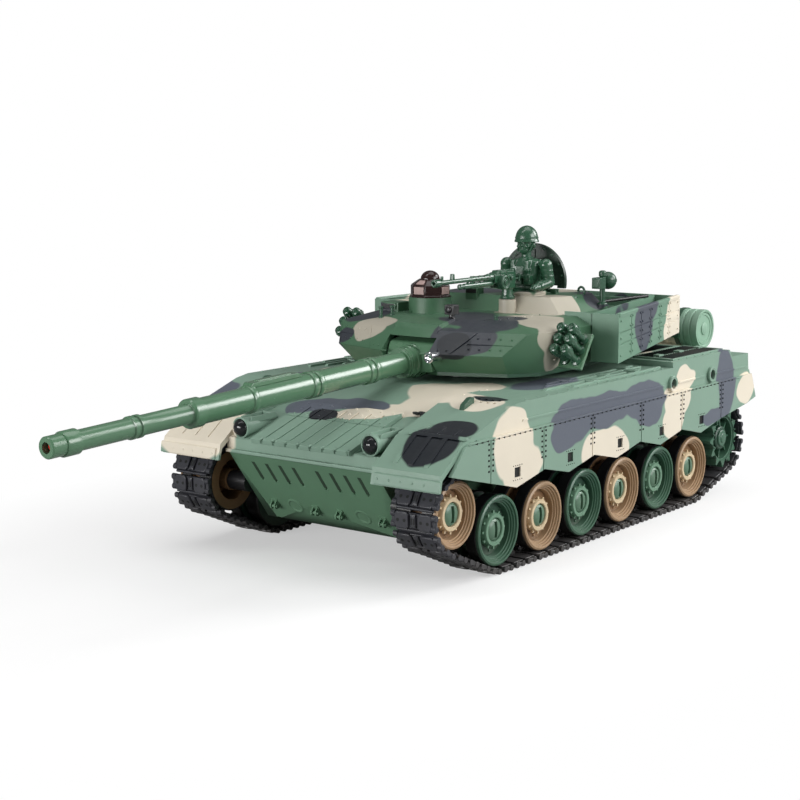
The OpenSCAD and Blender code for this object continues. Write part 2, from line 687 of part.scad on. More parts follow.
// Ribbed fuel drums lying across the rear on cradles
module fuel_drums() {
    gap_x = 8;
    drum_s = rear_s - 7;
    drum_z = rear_deck_z + 1.7 + drum_r;
    end = drum_len;
    step = (end - 8) / 9;
    ribs = [for (k = [0 : 8]) each [
        [drum_r - 0.7, 4 + k * step + 0.6], [drum_r, 4 + k * step + 1.2],
        [drum_r, 4 + (k + 1) * step - 0.6], [drum_r - 0.7, 4 + (k + 1) * step]]];
    color(green) both() {
        translate([gap_x, drum_s, drum_z]) rotate([0, 90, 0]) rotate_extrude() polygon(concat(
            [[0, 0.8], [drum_r - 1.6, 0.8], [drum_r - 1.2, 0], [drum_r, 0], [drum_r, 4]], ribs,
            [[drum_r, end - 3.4], [drum_r, end], [drum_r - 1.2, end]],
            [[drum_r - 1.6, end - 0.8], [0, end - 0.8]]));
        difference() {
            block(gap_x + 8, gap_x + end - 6, drum_s - 6, drum_s + 3, rear_deck_z, drum_z - 2);
            rod_x(gap_x, gap_x + end, drum_s, drum_z, drum_r + 0.05);
        }
    }
}

// Louvred grilles sunk into the engine deck
grille_x = 6;
grille_w = 46;
grille_t = 1.2;
module engine_grille() {
    len_s = engine_end_s - engine_s - 8;
    color(dark_green) both() translate([grille_x, engine_s + 4, engine_z - grille_t]) difference() {
        block(0.1, grille_w - 0.1, 0.1, len_s - 0.1, 0, grille_t);
        for (k = [0 : 9])
            translate([0, 3 + k * (len_s - 6) / 10, 0.5]) block(3, grille_w - 3, 0, (len_s - 6) / 18, 0, 2);
    }
}

// Screws that hold the hull halves together
module hull_screws() {
    color(steel) both() for (s = post_s) translate([post_x, s, belly_z + 0.4]) {
        cylinder(h = 2.1, r = 2 * screw_r);
        cylinder(h = parting_z - belly_z + 6, r = screw_r);
    }
}

// Battery pack of round cells side by side
module battery_pack() {
    color(tan_brown) for (k = [0 : 3])
        rod_x(-cell_len / 2, cell_len / 2, battery_s + 1 + (2 * k + 1) * cell_r,
            floor_z + cell_r - 0.05, cell_r - 0.05);
}

// Battery door in the belly with tongues over the floor
module battery_door() {
    color(green) {
        block(-door_w / 2 + loose, door_w / 2 - loose, battery_s + loose, battery_s + door_l - loose,
            belly_z, floor_z);
        for (x = [-18, 12]) {
            block(x, x + 6, battery_s - 3, battery_s + 0.8, floor_z, floor_z + 1.2);
            block(x, x + 6, battery_s + door_l - 0.8, battery_s + door_l + 3, floor_z, floor_z + 1.2);
        }
    }
}

// Receiver board with its parts
module circuit_board() {
    color(dark_green) {
        block(-board_w / 2, board_w / 2, board_s, board_s + board_l, board_z, board_z + 1.6);
        block(-9, 3, board_s + 20, board_s + 32, board_z + 1.6, board_z + 3.6);
        block(8, 18, board_s + 14, board_s + 22, board_z + 1.6, board_z + 7.6);
        block(8, 18, board_s + 26, board_s + 34, board_z + 1.6, board_z + 7.6);
        for (s = [44, 53]) translate([-12, board_s + s, board_z + 1.6]) cylinder(h = 11, r = 3.2);
    }
}

// Round loudspeaker on the floor
module speaker() {
    color(black) translate([0, speaker_s, floor_z]) rotate_extrude() polygon([
        [0, 1.4], [6, 1.4], [11, 0], [speaker_r, 0], [speaker_r, 2], [9, 5], [6, 5], [6, 9], [0, 9]
    ]);
}

// Sliding power switch in the belly
module power_switch() {
    color(black) {
        block(-2.3, 2.3, switch_s - 2.4, switch_s + 2.4, belly_z - 0.6, floor_z + 0.2);
        block(-3.7, 3.7, switch_s - 4, switch_s + 4, floor_z + 0.2, floor_z + 1.8);
    }
}

// Turret base: plate, slide ring, spigot and the gun's trunnion ears
module turret_base() {
    color(dark_green) difference() {
        union() {
            translate([0, 0, base_z]) linear_extrude(base_t) polygon(concat(base_half, flipped(base_half)));
            translate([0, ring_s, deck_z + loose])
                cylinder(h = base_z - deck_z - loose + sink, r = spigot_r + 6, $fn = 96);
            translate([0, ring_s, spigot_end_z])
                cylinder(h = deck_z - spigot_end_z + 1, r = spigot_r, $fn = 96);
            both() block(slot_half_w - 3.2, slot_half_w - 0.6, trunnion_s - 4, trunnion_s + 6,
                base_z, trunnion_z + 4.5);
            block(elev_x + 4.4, elev_x + 6, elev_pinion_s - 5, elev_pinion_s + 7,
                shell_z - sink, trunnion_z + 5);
        }
        translate([0, ring_s, 0]) cylinder(h = base_z + base_t + 1, r = spigot_r - 4, $fn = 96);
        block(-slot_half_w + 3.2, slot_half_w - 3.2, 60, trunnion_s + 16, 0, base_z + base_t + 0.01);
        block(-slot_half_w, slot_half_w, 60, trunnion_s - 4.01, 0, base_z + base_t + 1);
        rod_x(-30, 30, trunnion_s, trunnion_z, pivot_r + running_fit);
        rod_x(elev_x + 3, elev_x + 8, elev_pinion_s, trunnion_z, motor_shaft_r + running_fit);
    }
}

// Ring gear under the deck that keeps the turret down
module turret_ring_gear() {
    color(cream) translate([0, ring_s, ring_gear_z]) difference() {
        linear_extrude(gear_w) rotate(90) polygon(gear_points(ring_teeth, ring_m));
        translate([0, 0, -1]) cylinder(h = gear_w + 2, r = spigot_r - 4, $fn = 96);
    }
}

// Turret shell: arrow-shaped cheeks, roof, raised roof and bosses for the fittings
module turret_shell() {
    color(green) difference() {
        union() {
            loft([ring(base_half, shell_z), ring(knife_half, knife_z),
                ring(cheek_half, cheek_z), ring(roof_half, roof_z)]);
            loft([ring(plateau_low, roof_z - 1), ring(plateau_top, plateau_z)]);
            hull_side(-slot_half_w + 1, slot_half_w - 1) polygon([
                [trunnion_s - 10.5, cheek_z - 4], [trunnion_s - 7, cheek_z + 2.7],
                [trunnion_s + 5, roof_z + 0.5], [trunnion_s + 7, roof_z - 0.5],
                [trunnion_s + 7, cheek_z - 4]]);
            translate([crew_x, crew_s, plateau_z - 1]) cylinder(h = 2.6, r = hatch_hole_r + 2);
            translate([crew_x, mg_s, roof_z - 1]) cylinder(h = plateau_z - roof_z, r = 4.2);
            translate([dome_x, dome_s, cheek_z]) cylinder(h = plateau_z - cheek_z, r = dome_r + 0.5);
            for (x = [-12, 12]) translate([hatch_x + x, hatch_s, plateau_z - sink])
                block(-1.5, 1.5, -1.5, 1.5, 0, 2 * sink + 1.8);
            both() translate([mast_x, mast_s, roof_z - 1]) cylinder(h = 3.4, r = 3);
        }
        difference() {
            loft([
                ring(inset(base_half, turret_wall), shell_z - 1),
                ring(inset(knife_half, 1.6 * turret_wall), knife_z),
                ring(inset(cheek_half, 1.2 * turret_wall), cheek_z - 0.6 * turret_wall),
                ring(inset(roof_half, turret_wall), roof_z - turret_wall)
            ]);
            translate([dome_x, dome_s, 0]) cylinder(h = plateau_z, r = 2);
            translate([crew_x, mg_s, roof_z - 6]) cylinder(h = 20, r = 4.2);
        }
        loft([
            ring(inset(plateau_low, 1.5 * turret_wall), roof_z - turret_wall - 0.5),
            ring(inset(plateau_top, turret_wall), plateau_under_z)
        ]);
        block(-slot_half_w, slot_half_w, 60, trunnion_s + 6, 0, cheek_z - 3);
        translate([crew_x, crew_s, plateau_z - 5]) cylinder(h = 12, r = hatch_hole_r);
        translate([crew_x, mg_s, plateau_z - 7]) cylinder(h = 12, r = pivot_r + running_fit);
        rod_x(hatch_x - 20, hatch_x + 20, hatch_s, plateau_z + 1.2, 0.8 + running_fit);
        translate([cheek_lamp_x, 60, knife_z - 0.8]) rotate([-90, 0, 0]) cylinder(h = 28, r = 2.4 + 0.02);
    }
}
hatch_x = crew_x - 3.5;
mast_x = 42;
mast_s = 187;
cheek_lamp_x = 17;

// Open-topped stowage baskets along both sides and across the rear
module stowage_baskets() {
    low = base_z + 3.2;
    high = deck_z + 29.4;
    rise = 5.6;
    lip = 1.6;
    x1 = basket_half_w;
    x2 = basket_half_w - 16;
    w = basket_wall;
    in1 = turret_half_w;
    in2 = wall_x(basket_end_s);
    color(green) {
        both() difference() {
            loft([
                tray_ring(in1, in2, x1, x2, basket_s, basket_end_s, low, low + rise),
                tray_ring(in1, in2, x1, x2, basket_s, basket_end_s, high, high + lip)
            ]);
            loft([
                tray_ring(in1 + w, in2 + w, x1 - w, x2 - w, basket_s + w, basket_end_s - w,
                    low + w, low + rise + w),
                tray_ring(in1 + w, in2 + w, x1 - w, x2 - w, basket_s + w, basket_end_s - w,
                    high + 5, high + lip + 5)
            ]);
        }
        difference() {
            block(-in2, in2, body_end_s, basket_end_s, low + rise, high + lip);
            block(-in2 + w, in2 - w, body_end_s + w, basket_end_s - w, low + rise + w, high + 10);
        }
    }
}
function tray_ring(a, b, c, d, s0, s1, z0, z1) = [[a, s0, z0], [c, s0, z0], [d, s1, z1], [b, s1, z1]];

// Smoke launcher racks on both turret sides
module smoke_launchers() {
    rack_s = 126;
    rack_z = knife_z + 1;
    tube_r = 2.5;
    color(dark_green) both() translate([turret_half_w, rack_s, rack_z]) rotate([56, 0, 0]) {
        block(0, 11, -8, 8, -1.6, 0);
        for (x = [2.8, 8.4], v = [-5.3, 0, 5.3]) translate([x, v, -0.4]) {
            cylinder(h = 10.4, r = tube_r - 0.4);
            translate([0, 0, 8.4]) cylinder(h = 6, r = tube_r);
        }
    }
}

// Smoked receiver dome on an eight-sided collar
module receiver_dome() {
    color([0.16, 0.10, 0.08]) translate([dome_x, dome_s, plateau_z]) {
        cylinder(h = 6.5, r = dome_r, $fn = 8);
        translate([0, 0, 6]) intersection() {
            sphere(r = 0.68 * dome_r);
            translate([0, 0, -0.2]) cylinder(h = dome_r, r = dome_r);
        }
    }
}

// Warning mast with a lens box in front and a ball behind
module warning_mast() {
    foot = roof_z + 2.4;
    color(black) translate([mast_x, mast_s, foot]) {
        cylinder(h = 15, r = 1.4);
        translate([0, 0, 15]) sphere(r = 1.9);
        block(-2.4, 2.4, -6.4, -0.6, 8, 13.5);
        translate([0, 5.2, 11.5]) sphere(r = 4.4);
    }
}

// Roof lamp and cheek lamp
module turret_lamps() {
    roof_lamp_s = 106;
    color(steel) {
        translate([8.2, roof_lamp_s, roof_z]) {
            cylinder(h = 2.5, r = 1.3);
            block(-2.6, 2.6, -2.4, 2.4, 2, 6.6);
        }
        translate([cheek_lamp_x, 76, knife_z - 0.8]) rotate([-90, 0, 0]) cylinder(h = 11.8, r = 2.4);
    }
}

// Gun elevation motor and its pinion
module elevation_motor() {
    color(steel) difference() {
        rod_x(elev_x + 6, elev_x + 20, elev_pinion_s, trunnion_z, elev_motor_r);
        rod_x(elev_x + 5, elev_x + 12, elev_pinion_s, trunnion_z, motor_shaft_r + running_fit);
    }
}
module elevation_pinion() {
    color(cream) {
        gear_x(small_teeth, elev_m, elev_x, 3, elev_pinion_s, trunnion_z,
            180 + 180 / small_teeth, motor_shaft_r - 0.2);
        rod_x(elev_x, elev_x + 11, elev_pinion_s, trunnion_z, motor_shaft_r);
    }
}

module in_gun() {
    translate([0, trunnion_s, trunnion_z]) rotate([gun_droop, 0, 0]) children();
}

// Mantlet with trunnions, nose and the toothed elevation sector
module gun_mantlet() {
    half = slot_half_w - 0.5;
    color(green) {
        translate([0, trunnion_s, trunnion_z]) rod_x(-slot_half_w + 0.8, slot_half_w - 0.8, 0, 0, pivot_r);
        difference() {
            union() {
                in_gun() intersection() {
                    rod_x(-half, half, 0, 0, mantlet_r);
                    block(-half, half, -20, -5.2, -20, 20);
                }
                in_gun() block(-half + 4, half - 4, -7, 3, -3.6, 4.4);
                in_gun() rotate([90, 0, 0]) cylinder(h = 20, r = 7.2);
                in_gun() translate([0, -18, 0]) rotate([90, 0, 0]) cylinder(h = 3, r = 6.4);
                difference() {
                    gear_x(sector_teeth, elev_m, elev_x, 3, trunnion_s, trunnion_z, 0, 0.5);
                    block(-20, 20, trunnion_s - 30, trunnion_s + 2.4, 0, 200);
                    block(-20, 20, trunnion_s, trunnion_s + 30, 0, trunnion_z - 3.6);
                    block(-20, 20, trunnion_s, trunnion_s + 30, trunnion_z + 8, 200);
                }
            }
            in_gun() rotate([90, 0, 0]) cylinder(h = 40, r = barrel_r - 0.6 + 0.02);
        }
    }
}

// Barrel with rings, a thicker rear half and a muzzle collar
module gun_barrel() {
    seat = 3;
    thick_end = 157;
    color(dark_green) in_gun() rotate([90, 0, 0]) difference() {
        union() {
            translate([0, 0, seat]) cylinder(h = 21.5 - seat, r = barrel_r - 0.6);
            translate([0, 0, 21.02]) cylinder(h = thick_end - 21.02, r = barrel_r);
            for (d = [[41, 44], [45, 48], [80, 83], [84, 87], [122, 125]])
                translate([0, 0, d[0]]) cylinder(h = d[1] - d[0], r = barrel_r + 0.6);
            translate([0, 0, thick_end - 4]) cylinder(h = 6, r = barrel_r + 0.7);
            translate([0, 0, thick_end]) cylinder(h = barrel_len - thick_end, r = barrel_tip_r);
            for (d = [185, 188.4]) translate([0, 0, d]) cylinder(h = 2.2, r = barrel_tip_r + 0.6);
            translate([0, 0, barrel_len - 14]) cylinder(h = 7, r = muzzle_r);
        }
        translate([0, 0, barrel_len - 9]) cylinder(h = 20, r = lamp_r + 0.2);
    }
    color(dark_green) in_gun() difference() {
        block(-2.6, 2.6, -124, -92, barrel_r - 1.4, barrel_r + 1.6);
        rotate([90, 0, 0]) cylinder(h = 140, r = barrel_r + 0.01);
    }
}
module muzzle_lamp() {
    color([0.8, 0.1, 0.1]) in_gun() rotate([90, 0, 0]) translate([0, 0, barrel_len - 9]) {
        cylinder(h = 5, r = lamp_r);
        translate([0, 0, 5]) sphere(r = lamp_r);
    }
}

// Roof machine gun turning on a peg in its post
module machine_gun() {
    seat = plateau_z - 1 + 0.3;
    axis_z = seat + 11.2;
    color(dark_green) translate([crew_x, mg_s, 0]) {
        translate([0, 0, plateau_z - 6]) cylinder(h = 10, r = pivot_r);
        translate([0, 0, seat]) cylinder(h = 2, r = 3.6);
        block(-2.2, 2.2, -4, 3, seat + 1.8, seat + 8.4);
        block(-2.6, 2.6, -14, 4, axis_z - 3, axis_z + 2.4);
        block(2.4, 6.4, -12, -2, axis_z - 6, axis_z);
        block(-0.8, 0.8, 3.9, 6, axis_z - 1.4, axis_z + 0.6);
        translate([0, -13.9, axis_z]) rotate([90, 0, 0]) {
            cylinder(h = mg_barrel * 0.36, r = 1.9);
            cylinder(h = mg_barrel - 4, r = 1.15);
            translate([0, 0, mg_barrel - 6]) cylinder(h = 6, r = 1.6);
        }
        block(-0.7, 0.7, -14.2 - mg_barrel * 0.3, -14 - mg_barrel * 0.3 + 1.4, axis_z, axis_z + 3.4);
    }
}

// Hatch cover standing up on its hinge pin, a little off the hole's middle
module hatch_cover() {
    hinge_z = plateau_z + 1.2;
    color(dark_green) {
        difference() {
            union() {
                intersection() {
                    translate([hatch_x, hatch_s - hatch_t / 2, hinge_z + 5])
                        rotate([-90, 0, 0]) cylinder(h = hatch_t, r = hatch_r, $fn = 72);
                    block(hatch_x - 30, hatch_x + 30, hatch_s - 5, hatch_s + 5, hinge_z + 1.6, hinge_z + 60);
                }
                for (x = [-9, 6]) translate([hatch_x + x, hatch_s, hinge_z])
                    block(0, 3, -hatch_t / 2, hatch_t / 2, -0.6, 3);
            }
            rod_x(hatch_x - 30, hatch_x + 30, hatch_s, hinge_z, 0.7);
            for (x = [-12, 12]) translate([hatch_x + x, hatch_s, hinge_z])
                block(-2, 2, -3, 3, -1, 2.6);
        }
        rod_x(hatch_x - 13.2, hatch_x + 13.2, hatch_s, hinge_z, 0.8);
    }
}

// Commander: torso held from below by its foot flange, turning head and arms
shoulder_x = 11.4;
shoulder_z = plateau_z + 15.6;
neck_z = plateau_z + 18.6;
module in_crew() {
    translate([crew_x, crew_s, 0]) children();
}
module slab(w, d, z, h, r) {
    for (x = [-1, 1], y = [-1, 1])
        translate([x * (w / 2 - r), y * (d / 2 - r), z]) cylinder(h = h, r = r, $fn = 24);
}
module commander_torso() {
    color(dark_green) in_crew() difference() {
        union() {
            block(-hatch_hole_r - 1.4, hatch_hole_r + 1.4, -4.6, 4.6,
                plateau_under_z - 1.6, plateau_under_z);
            hull() {
                slab(11, 8, plateau_under_z - 1.6, 1, 2.6);
                slab(12.4, 8.6, plateau_z + 4, 1, 3);
                slab(15.8, 9.6, plateau_z + 12, 1, 3);
                slab(15.6, 7, plateau_z + 16.6, 1, 3);
                slab(7, 5.4, plateau_z + 17.6, 1, 2.4);
            }
        }
        rod_x(-20, 20, 0, shoulder_z, 1.2 + running_fit);
        translate([0, 0, neck_z - 5]) cylinder(h = 10, r = 1.6 + running_fit);
    }
}
module commander_head() {
    color(dark_green) in_crew() {
        translate([0, 0, neck_z - 4]) cylinder(h = 7, r = 1.6);
        translate([0, 0, neck_z + loose]) cylinder(h = 3, r = 2.6);
        translate([0, -0.3, neck_z + 7]) sphere(r = 4.6);
        intersection() {
            translate([0, 0.4, neck_z + 10]) sphere(r = 5.7);
            block(-8, 8, -8, 8, neck_z + 8.4, neck_z + 20);
        }
        both() rod_x(3.4, 5.4, 0.6, neck_z + 7, 2.6);
    }
}
module commander_arm(side) {
    elbow = [shoulder_x + 1.2, 1.4, shoulder_z - 9];
    hand = [shoulder_x - 0.6, -7.4, shoulder_z - 11.2];
    color(dark_green) in_crew() on_side(side) {
        rod_x(5, shoulder_x, 0, shoulder_z, 1.2);
        hull() {
            translate([shoulder_x, 0, shoulder_z]) sphere(r = 3.1, $fn = 24);
            translate(elbow) sphere(r = 2.6, $fn = 24);
        }
        hull() {
            translate(elbow) sphere(r = 2.6, $fn = 24);
            translate(hand) sphere(r = 2.2, $fn = 24);
        }
    }
}

in_frame() lower_hull();
in_frame() upper_hull();
in_frame() glacis_armour();
in_frame() side_skirt(1);  // side_skirt_left
in_frame() side_skirt(-1);  // side_skirt_right
in_frame() track(1);  // track_left
in_frame() track(-1);  // track_right
in_frame() wheel_axles();
in_frame() headlight_lenses();
in_frame() fuel_drums();
in_frame() engine_grille();
in_frame() hull_screws();
in_frame() battery_pack();
in_frame() battery_door();
in_frame() circuit_board();
in_frame() speaker();
in_frame() power_switch();
in_frame() motors();
in_frame() gearbox_plates();
in_frame() turret_pinion();
in_frame() sprocket(1);  // sprocket_left
in_frame() sprocket(-1);  // sprocket_right
in_frame() compound_gear(1);  // compound_gear_left
in_frame() compound_gear(-1);  // compound_gear_right
in_frame() motor_pinion(1);  // motor_pinion_left
in_frame() motor_pinion(-1);  // motor_pinion_right
in_frame() wheel(1, idler_r, idler_s, idler_z, tan_brown);  // idler_left
in_frame() wheel(-1, idler_r, idler_s, idler_z, tan_brown);  // idler_right
for (k = [0 : 5]) {
    tone = k % 2 == 0 ? green : tan_brown;
    in_frame() wheel(1, wheel_r, wheel_first_s + k * wheel_pitch, wheel_z, tone);
    in_frame() wheel(-1, wheel_r, wheel_first_s + k * wheel_pitch, wheel_z, tone);
}
in_frame() turret_base();
in_frame() turret_shell();
in_frame() turret_ring_gear();
in_frame() stowage_baskets();
in_frame() smoke_launchers();
in_frame() receiver_dome();
in_frame() warning_mast();
in_frame() turret_lamps();
in_frame() elevation_motor();
in_frame() elevation_pinion();
in_frame() gun_mantlet();
in_frame() gun_barrel();
in_frame() muzzle_lamp();
in_frame() machine_gun();
in_frame() hatch_cover();
in_frame() commander_torso();
in_frame() commander_head();
in_frame() commander_arm(1);  // commander_arm_left
in_frame() commander_arm(-1);  // commander_arm_right
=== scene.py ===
"""Looks of a remote control toy battle tank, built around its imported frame.

Lengths are in millimetres until they reach a mesh. A station is the distance behind the
front edge of the fenders, so a place is (x, station, z), with +x the tank's left.
"""

from math import acos, atan2, copysign, cos, dist, hypot, pi, radians, sin

import bmesh
import bpy
from mathutils import Matrix, Vector


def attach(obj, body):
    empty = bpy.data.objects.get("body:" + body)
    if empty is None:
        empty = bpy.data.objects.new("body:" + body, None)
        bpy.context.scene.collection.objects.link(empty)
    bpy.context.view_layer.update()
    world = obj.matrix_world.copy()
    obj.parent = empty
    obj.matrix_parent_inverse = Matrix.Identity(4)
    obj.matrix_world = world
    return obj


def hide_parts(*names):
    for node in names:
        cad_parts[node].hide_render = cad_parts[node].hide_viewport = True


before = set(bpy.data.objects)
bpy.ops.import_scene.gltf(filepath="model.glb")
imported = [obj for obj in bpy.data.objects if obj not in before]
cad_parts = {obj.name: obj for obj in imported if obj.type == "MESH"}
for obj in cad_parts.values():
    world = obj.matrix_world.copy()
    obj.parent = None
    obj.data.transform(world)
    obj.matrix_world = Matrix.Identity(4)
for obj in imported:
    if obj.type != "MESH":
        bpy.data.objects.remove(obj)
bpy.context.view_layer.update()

MM = 0.001
MID_STATION = 76.0197
ACROSS, ALONG, UP = (1, 0, 0), (0, 1, 0), (0, 0, 1)
# Degrees from which an edge between two faces stays sharp
CREASE = 32

# Sizes shared with the part's source
HULL_HALF = 80.0
SIDE_X = 78.4
TRACK_IN, TRACK_OUT, TRACK_T, TRACK_GAP = 52.0, 75.2, 2.8, 0.3
LINK_PITCH = 9.1
WHEEL_IN, WHEEL_OUT, WHEEL_R, WHEEL_Z = 53.0, 73.0, 15.7, 18.8
WHEEL_S = [51.2 + 35.2 * k for k in range(6)]
IDLER = (19.5, 31.2, 14.6)
SPROCKET = (262.4, 28.6, 15.6)
DECK_Z, ENGINE_Z = 74.0, 76.8
ROOF_Z, PLATEAU_Z, CHEEK_Z, KNIFE_Z = 101.5, 109.0, 97.5, 87.5
TRUNNION = (97.0, 83.7)
GUN_DROOP, GUN_RAISE = radians(2.36), radians(14)
CREW = (12.5, 163.0)
MG_S = 146.5
HATCH = (9.0, 176.0)
DOME = (-20.0, 127.0)
MAST = (42.0, 187.0)
DRUM = (271, 85.0)
PORTS, PORT_Z = (192.7, 234.0), 66.4

# Values of the looks alone
SIDES = ((1, "left"), (-1, "right"))
SKIRT_LINE = 61.1


def at(x, s, z):
    return Vector((x, s - MID_STATION, z)) * MM


def turns(count, start=0.0):
    """Angles evenly round a circle, the first one given in degrees."""
    return [radians(start + 360.0 * k / count) for k in range(count)]


# Meshes


class Shape:
    """Closed solids gathered in one mesh, given in millimetre places."""

    def __init__(self, place=None):
        self.bm = bmesh.new()
        self.place = place or Matrix.Identity(4)

    def verts(self, points):
        return [self.bm.verts.new(at(*(self.place @ Vector(p)))) for p in points]

    def skin(self, rings, loop=False):
        """Faces between rings of points, with both ends capped, or joined where it is a loop."""
        rows = [self.verts(r) for r in rings]
        if loop:
            rows.append(rows[0])
        for a, b in zip(rows, rows[1:]):
            n = max(len(a), len(b))
            for i in range(n):
                j = (i + 1) % n
                quad = [a[i % len(a)], a[j % len(a)], b[j % len(b)], b[i % len(b)]]
                quad = [v for k, v in enumerate(quad) if v not in quad[:k]]
                if len(quad) > 2:
                    self.bm.faces.new(quad)
        if not loop:
            for row in (rows[0], rows[-1]):
                if len(row) > 2:
                    self.bm.faces.new(row)
        return self

    def box(self, x0, x1, s0, s1, z0, z1):
        ring = lambda z: [(x0, s0, z), (x1, s0, z), (x1, s1, z), (x0, s1, z)]
        return self.skin([ring(z0), ring(z1)])

    def prism(self, outline, x0, x1):
        """A station and height outline drawn across from x0 to x1."""
        return self.skin([[(x, s, z) for s, z in outline] for x in (x0, x1)])

    def spin(self, profile, start, axis, seg=48, loop=False):
        """Turns (radius, distance) points about an axis that starts at a place."""
        start, axis = Vector(start), Vector(axis).normalized()
        side = axis.orthogonal().normalized()
        up = axis.cross(side)
        rings = []
        for r, d in profile:
            mid = start + axis * d
            if r < 1e-6:
                rings.append([mid])
            else:
                turn = [2 * pi * k / seg for k in range(seg)]
                rings.append([mid + r * (cos(t) * side + sin(t) * up) for t in turn])
        return self.skin(rings, loop)

    def rod(self, a, b, r, r_end=None, seg=24):
        a, b = Vector(a), Vector(b)
        r_end = r if r_end is None else r_end
        return self.spin([(r, 0), (r_end, (b - a).length)], a, b - a, seg)

    def ball(self, c, radii, seg=24, rows=12):
        c = Vector(c)
        rings = []
        for k in range(rows + 1):
            t = pi * k / rows
            w, h = sin(t), -cos(t)
            if k in (0, rows):
                rings.append([c + Vector((0, 0, radii[2] * h))])
            else:
                turn = [2 * pi * i / seg for i in range(seg)]
                rings.append([c + Vector((radii[0] * w * cos(a), radii[1] * w * sin(a), radii[2] * h))
                              for a in turn])
        return self.skin(rings)

    def hoop(self, c, axis, radius, thick, seg=28, sides=10):
        """A closed ring of round wire."""
        c, axis = Vector(c), Vector(axis).normalized()
        side = axis.orthogonal().normalized()
        up = axis.cross(side)
        rings = []
        for k in range(seg):
            t = 2 * pi * k / seg
            out = cos(t) * side + sin(t) * up
            wire = [2 * pi * i / sides for i in range(sides)]
            rings.append([c + out * (radius + thick * cos(a)) + axis * thick * sin(a) for a in wire])
        return self.skin(rings, loop=True)

    def mirrored(self):
        """Adds the same solids on the other side of the middle plane."""
        twin = bmesh.ops.duplicate(self.bm, geom=self.bm.verts[:] + self.bm.edges[:] + self.bm.faces[:])
        for v in twin["geom"]:
            if isinstance(v, bmesh.types.BMVert):
                v.co.x = -v.co.x
        return self

    def mesh(self, name):
        bmesh.ops.recalc_face_normals(self.bm, faces=self.bm.faces[:])
        data = bpy.data.meshes.new(name)
        self.bm.to_mesh(data)
        self.bm.free()
        return data


def link(name, mesh):
    obj = bpy.data.objects.new(name, mesh)
    bpy.context.scene.collection.objects.link(obj)
    return obj


def settle(obj):
    """Puts the result of the modifiers into the mesh and takes the modifiers off."""
    graph = bpy.context.evaluated_depsgraph_get()
    graph.update()
    data = bpy.data.meshes.new_from_object(obj.evaluated_get(graph))
    obj.modifiers.clear()
    old = obj.data
    obj.data = data
    if old.users == 0:
        bpy.data.meshes.remove(old)
    return obj


def smooth(mesh):
    mesh.polygons.foreach_set("use_smooth", [True] * len(mesh.polygons))
    mesh.set_sharp_from_angle(angle=radians(CREASE))


def folded(mesh):
    """The area of the faces that fold over themselves, in square millimetres."""
    mesh.calc_loop_triangles()
    faces = mesh.polygons
    return 1e6 * sum(t.area for t in mesh.loop_triangles if t.normal.dot(faces[t.polygon_index].normal) < 0.3)


def soften(obj, width, segments=2):
    """Rounds the edges, by less where the full width would fold a face over itself."""
    plain = obj.data.copy()
    limit = folded(plain) + 0.2
    while width > 0.04:
        bevel = obj.modifiers.new("edge", "BEVEL")
        bevel.width = width * MM
        bevel.segments = segments
        bevel.limit_method = "ANGLE"
        bevel.angle_limit = radians(CREASE)
        bevel.miter_outer = "MITER_ARC"
        settle(obj)
        if folded(obj.data) < limit:
            break
        obj.data = plain.copy()
        width *= 0.6
    smooth(obj.data)
    if width:
        even = obj.modifiers.new("even", "WEIGHTED_NORMAL")
        even.keep_sharp = True
        settle(obj)
    return obj


def carve(obj, cutter):
    """Takes the cutter's solids out of a piece."""
    tool = link("cutter", cutter.mesh("cutter"))
    cut = obj.modifiers.new("cut", "BOOLEAN")
    cut.operation = "DIFFERENCE"
    cut.solver = "EXACT"
    cut.use_self = True
    cut.object = tool
    settle(obj)
    mesh = tool.data
    bpy.data.objects.remove(tool)
    bpy.data.meshes.remove(mesh)
    return obj


def fit_piece(obj, finish, body, stands_for=()):
    """Gives a piece its finish and its body, and hides the solids that it stands for."""
    if finish is not None:
        obj.data.materials.clear()
        obj.data.materials.append(finish)
    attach(obj, body)
    if stands_for:
        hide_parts(*stands_for)
    return obj


def make_piece(name, shape, finish, body, edge, node=None):
    """A piece from a shape, its edges rounded by a width in millimetres, in place of a node if one is named."""
    return fit_piece(soften(link(name, shape.mesh(name)), edge), finish, body, (node,) if node else ())


def dressed(node, finish, body, edge=0.3, cutter=None):
    """A copy of a node's solid with cut details and softened edges."""
    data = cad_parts[node].data.copy()
    bm = bmesh.new()
    bm.from_mesh(data)
    bmesh.ops.remove_doubles(bm, verts=bm.verts[:], dist=2e-6)
    bmesh.ops.dissolve_limit(bm, angle_limit=radians(0.5), verts=bm.verts[:], edges=bm.edges[:])
    bm.to_mesh(data)
    bm.free()
    obj = link(node + "_look", data)
    obj.data.materials.clear()
    if cutter is not None:
        carve(obj, cutter)
    soften(obj, edge)
    return fit_piece(obj, finish, body, (node,))


# Repeated parts by geometry nodes


def join(tree, node, **inputs):
    """Sets or links a node's inputs by name or number."""
    for key, value in inputs.items():
        number = key[0] == "i" and key[1:].isdigit()
        socket = node.inputs[int(key[1:]) if number else key.replace("_", " ")]
        if isinstance(value, bpy.types.NodeSocket):
            tree.links.new(value, socket)
        else:
            socket.default_value = value
    return node


def add(tree, kind, settings=None, **inputs):
    """A new node with its settings made and its inputs joined."""
    node = tree.nodes.new(kind)
    for key, value in (settings or {}).items():
        setattr(node, key, value)
    return join(tree, node, **inputs)


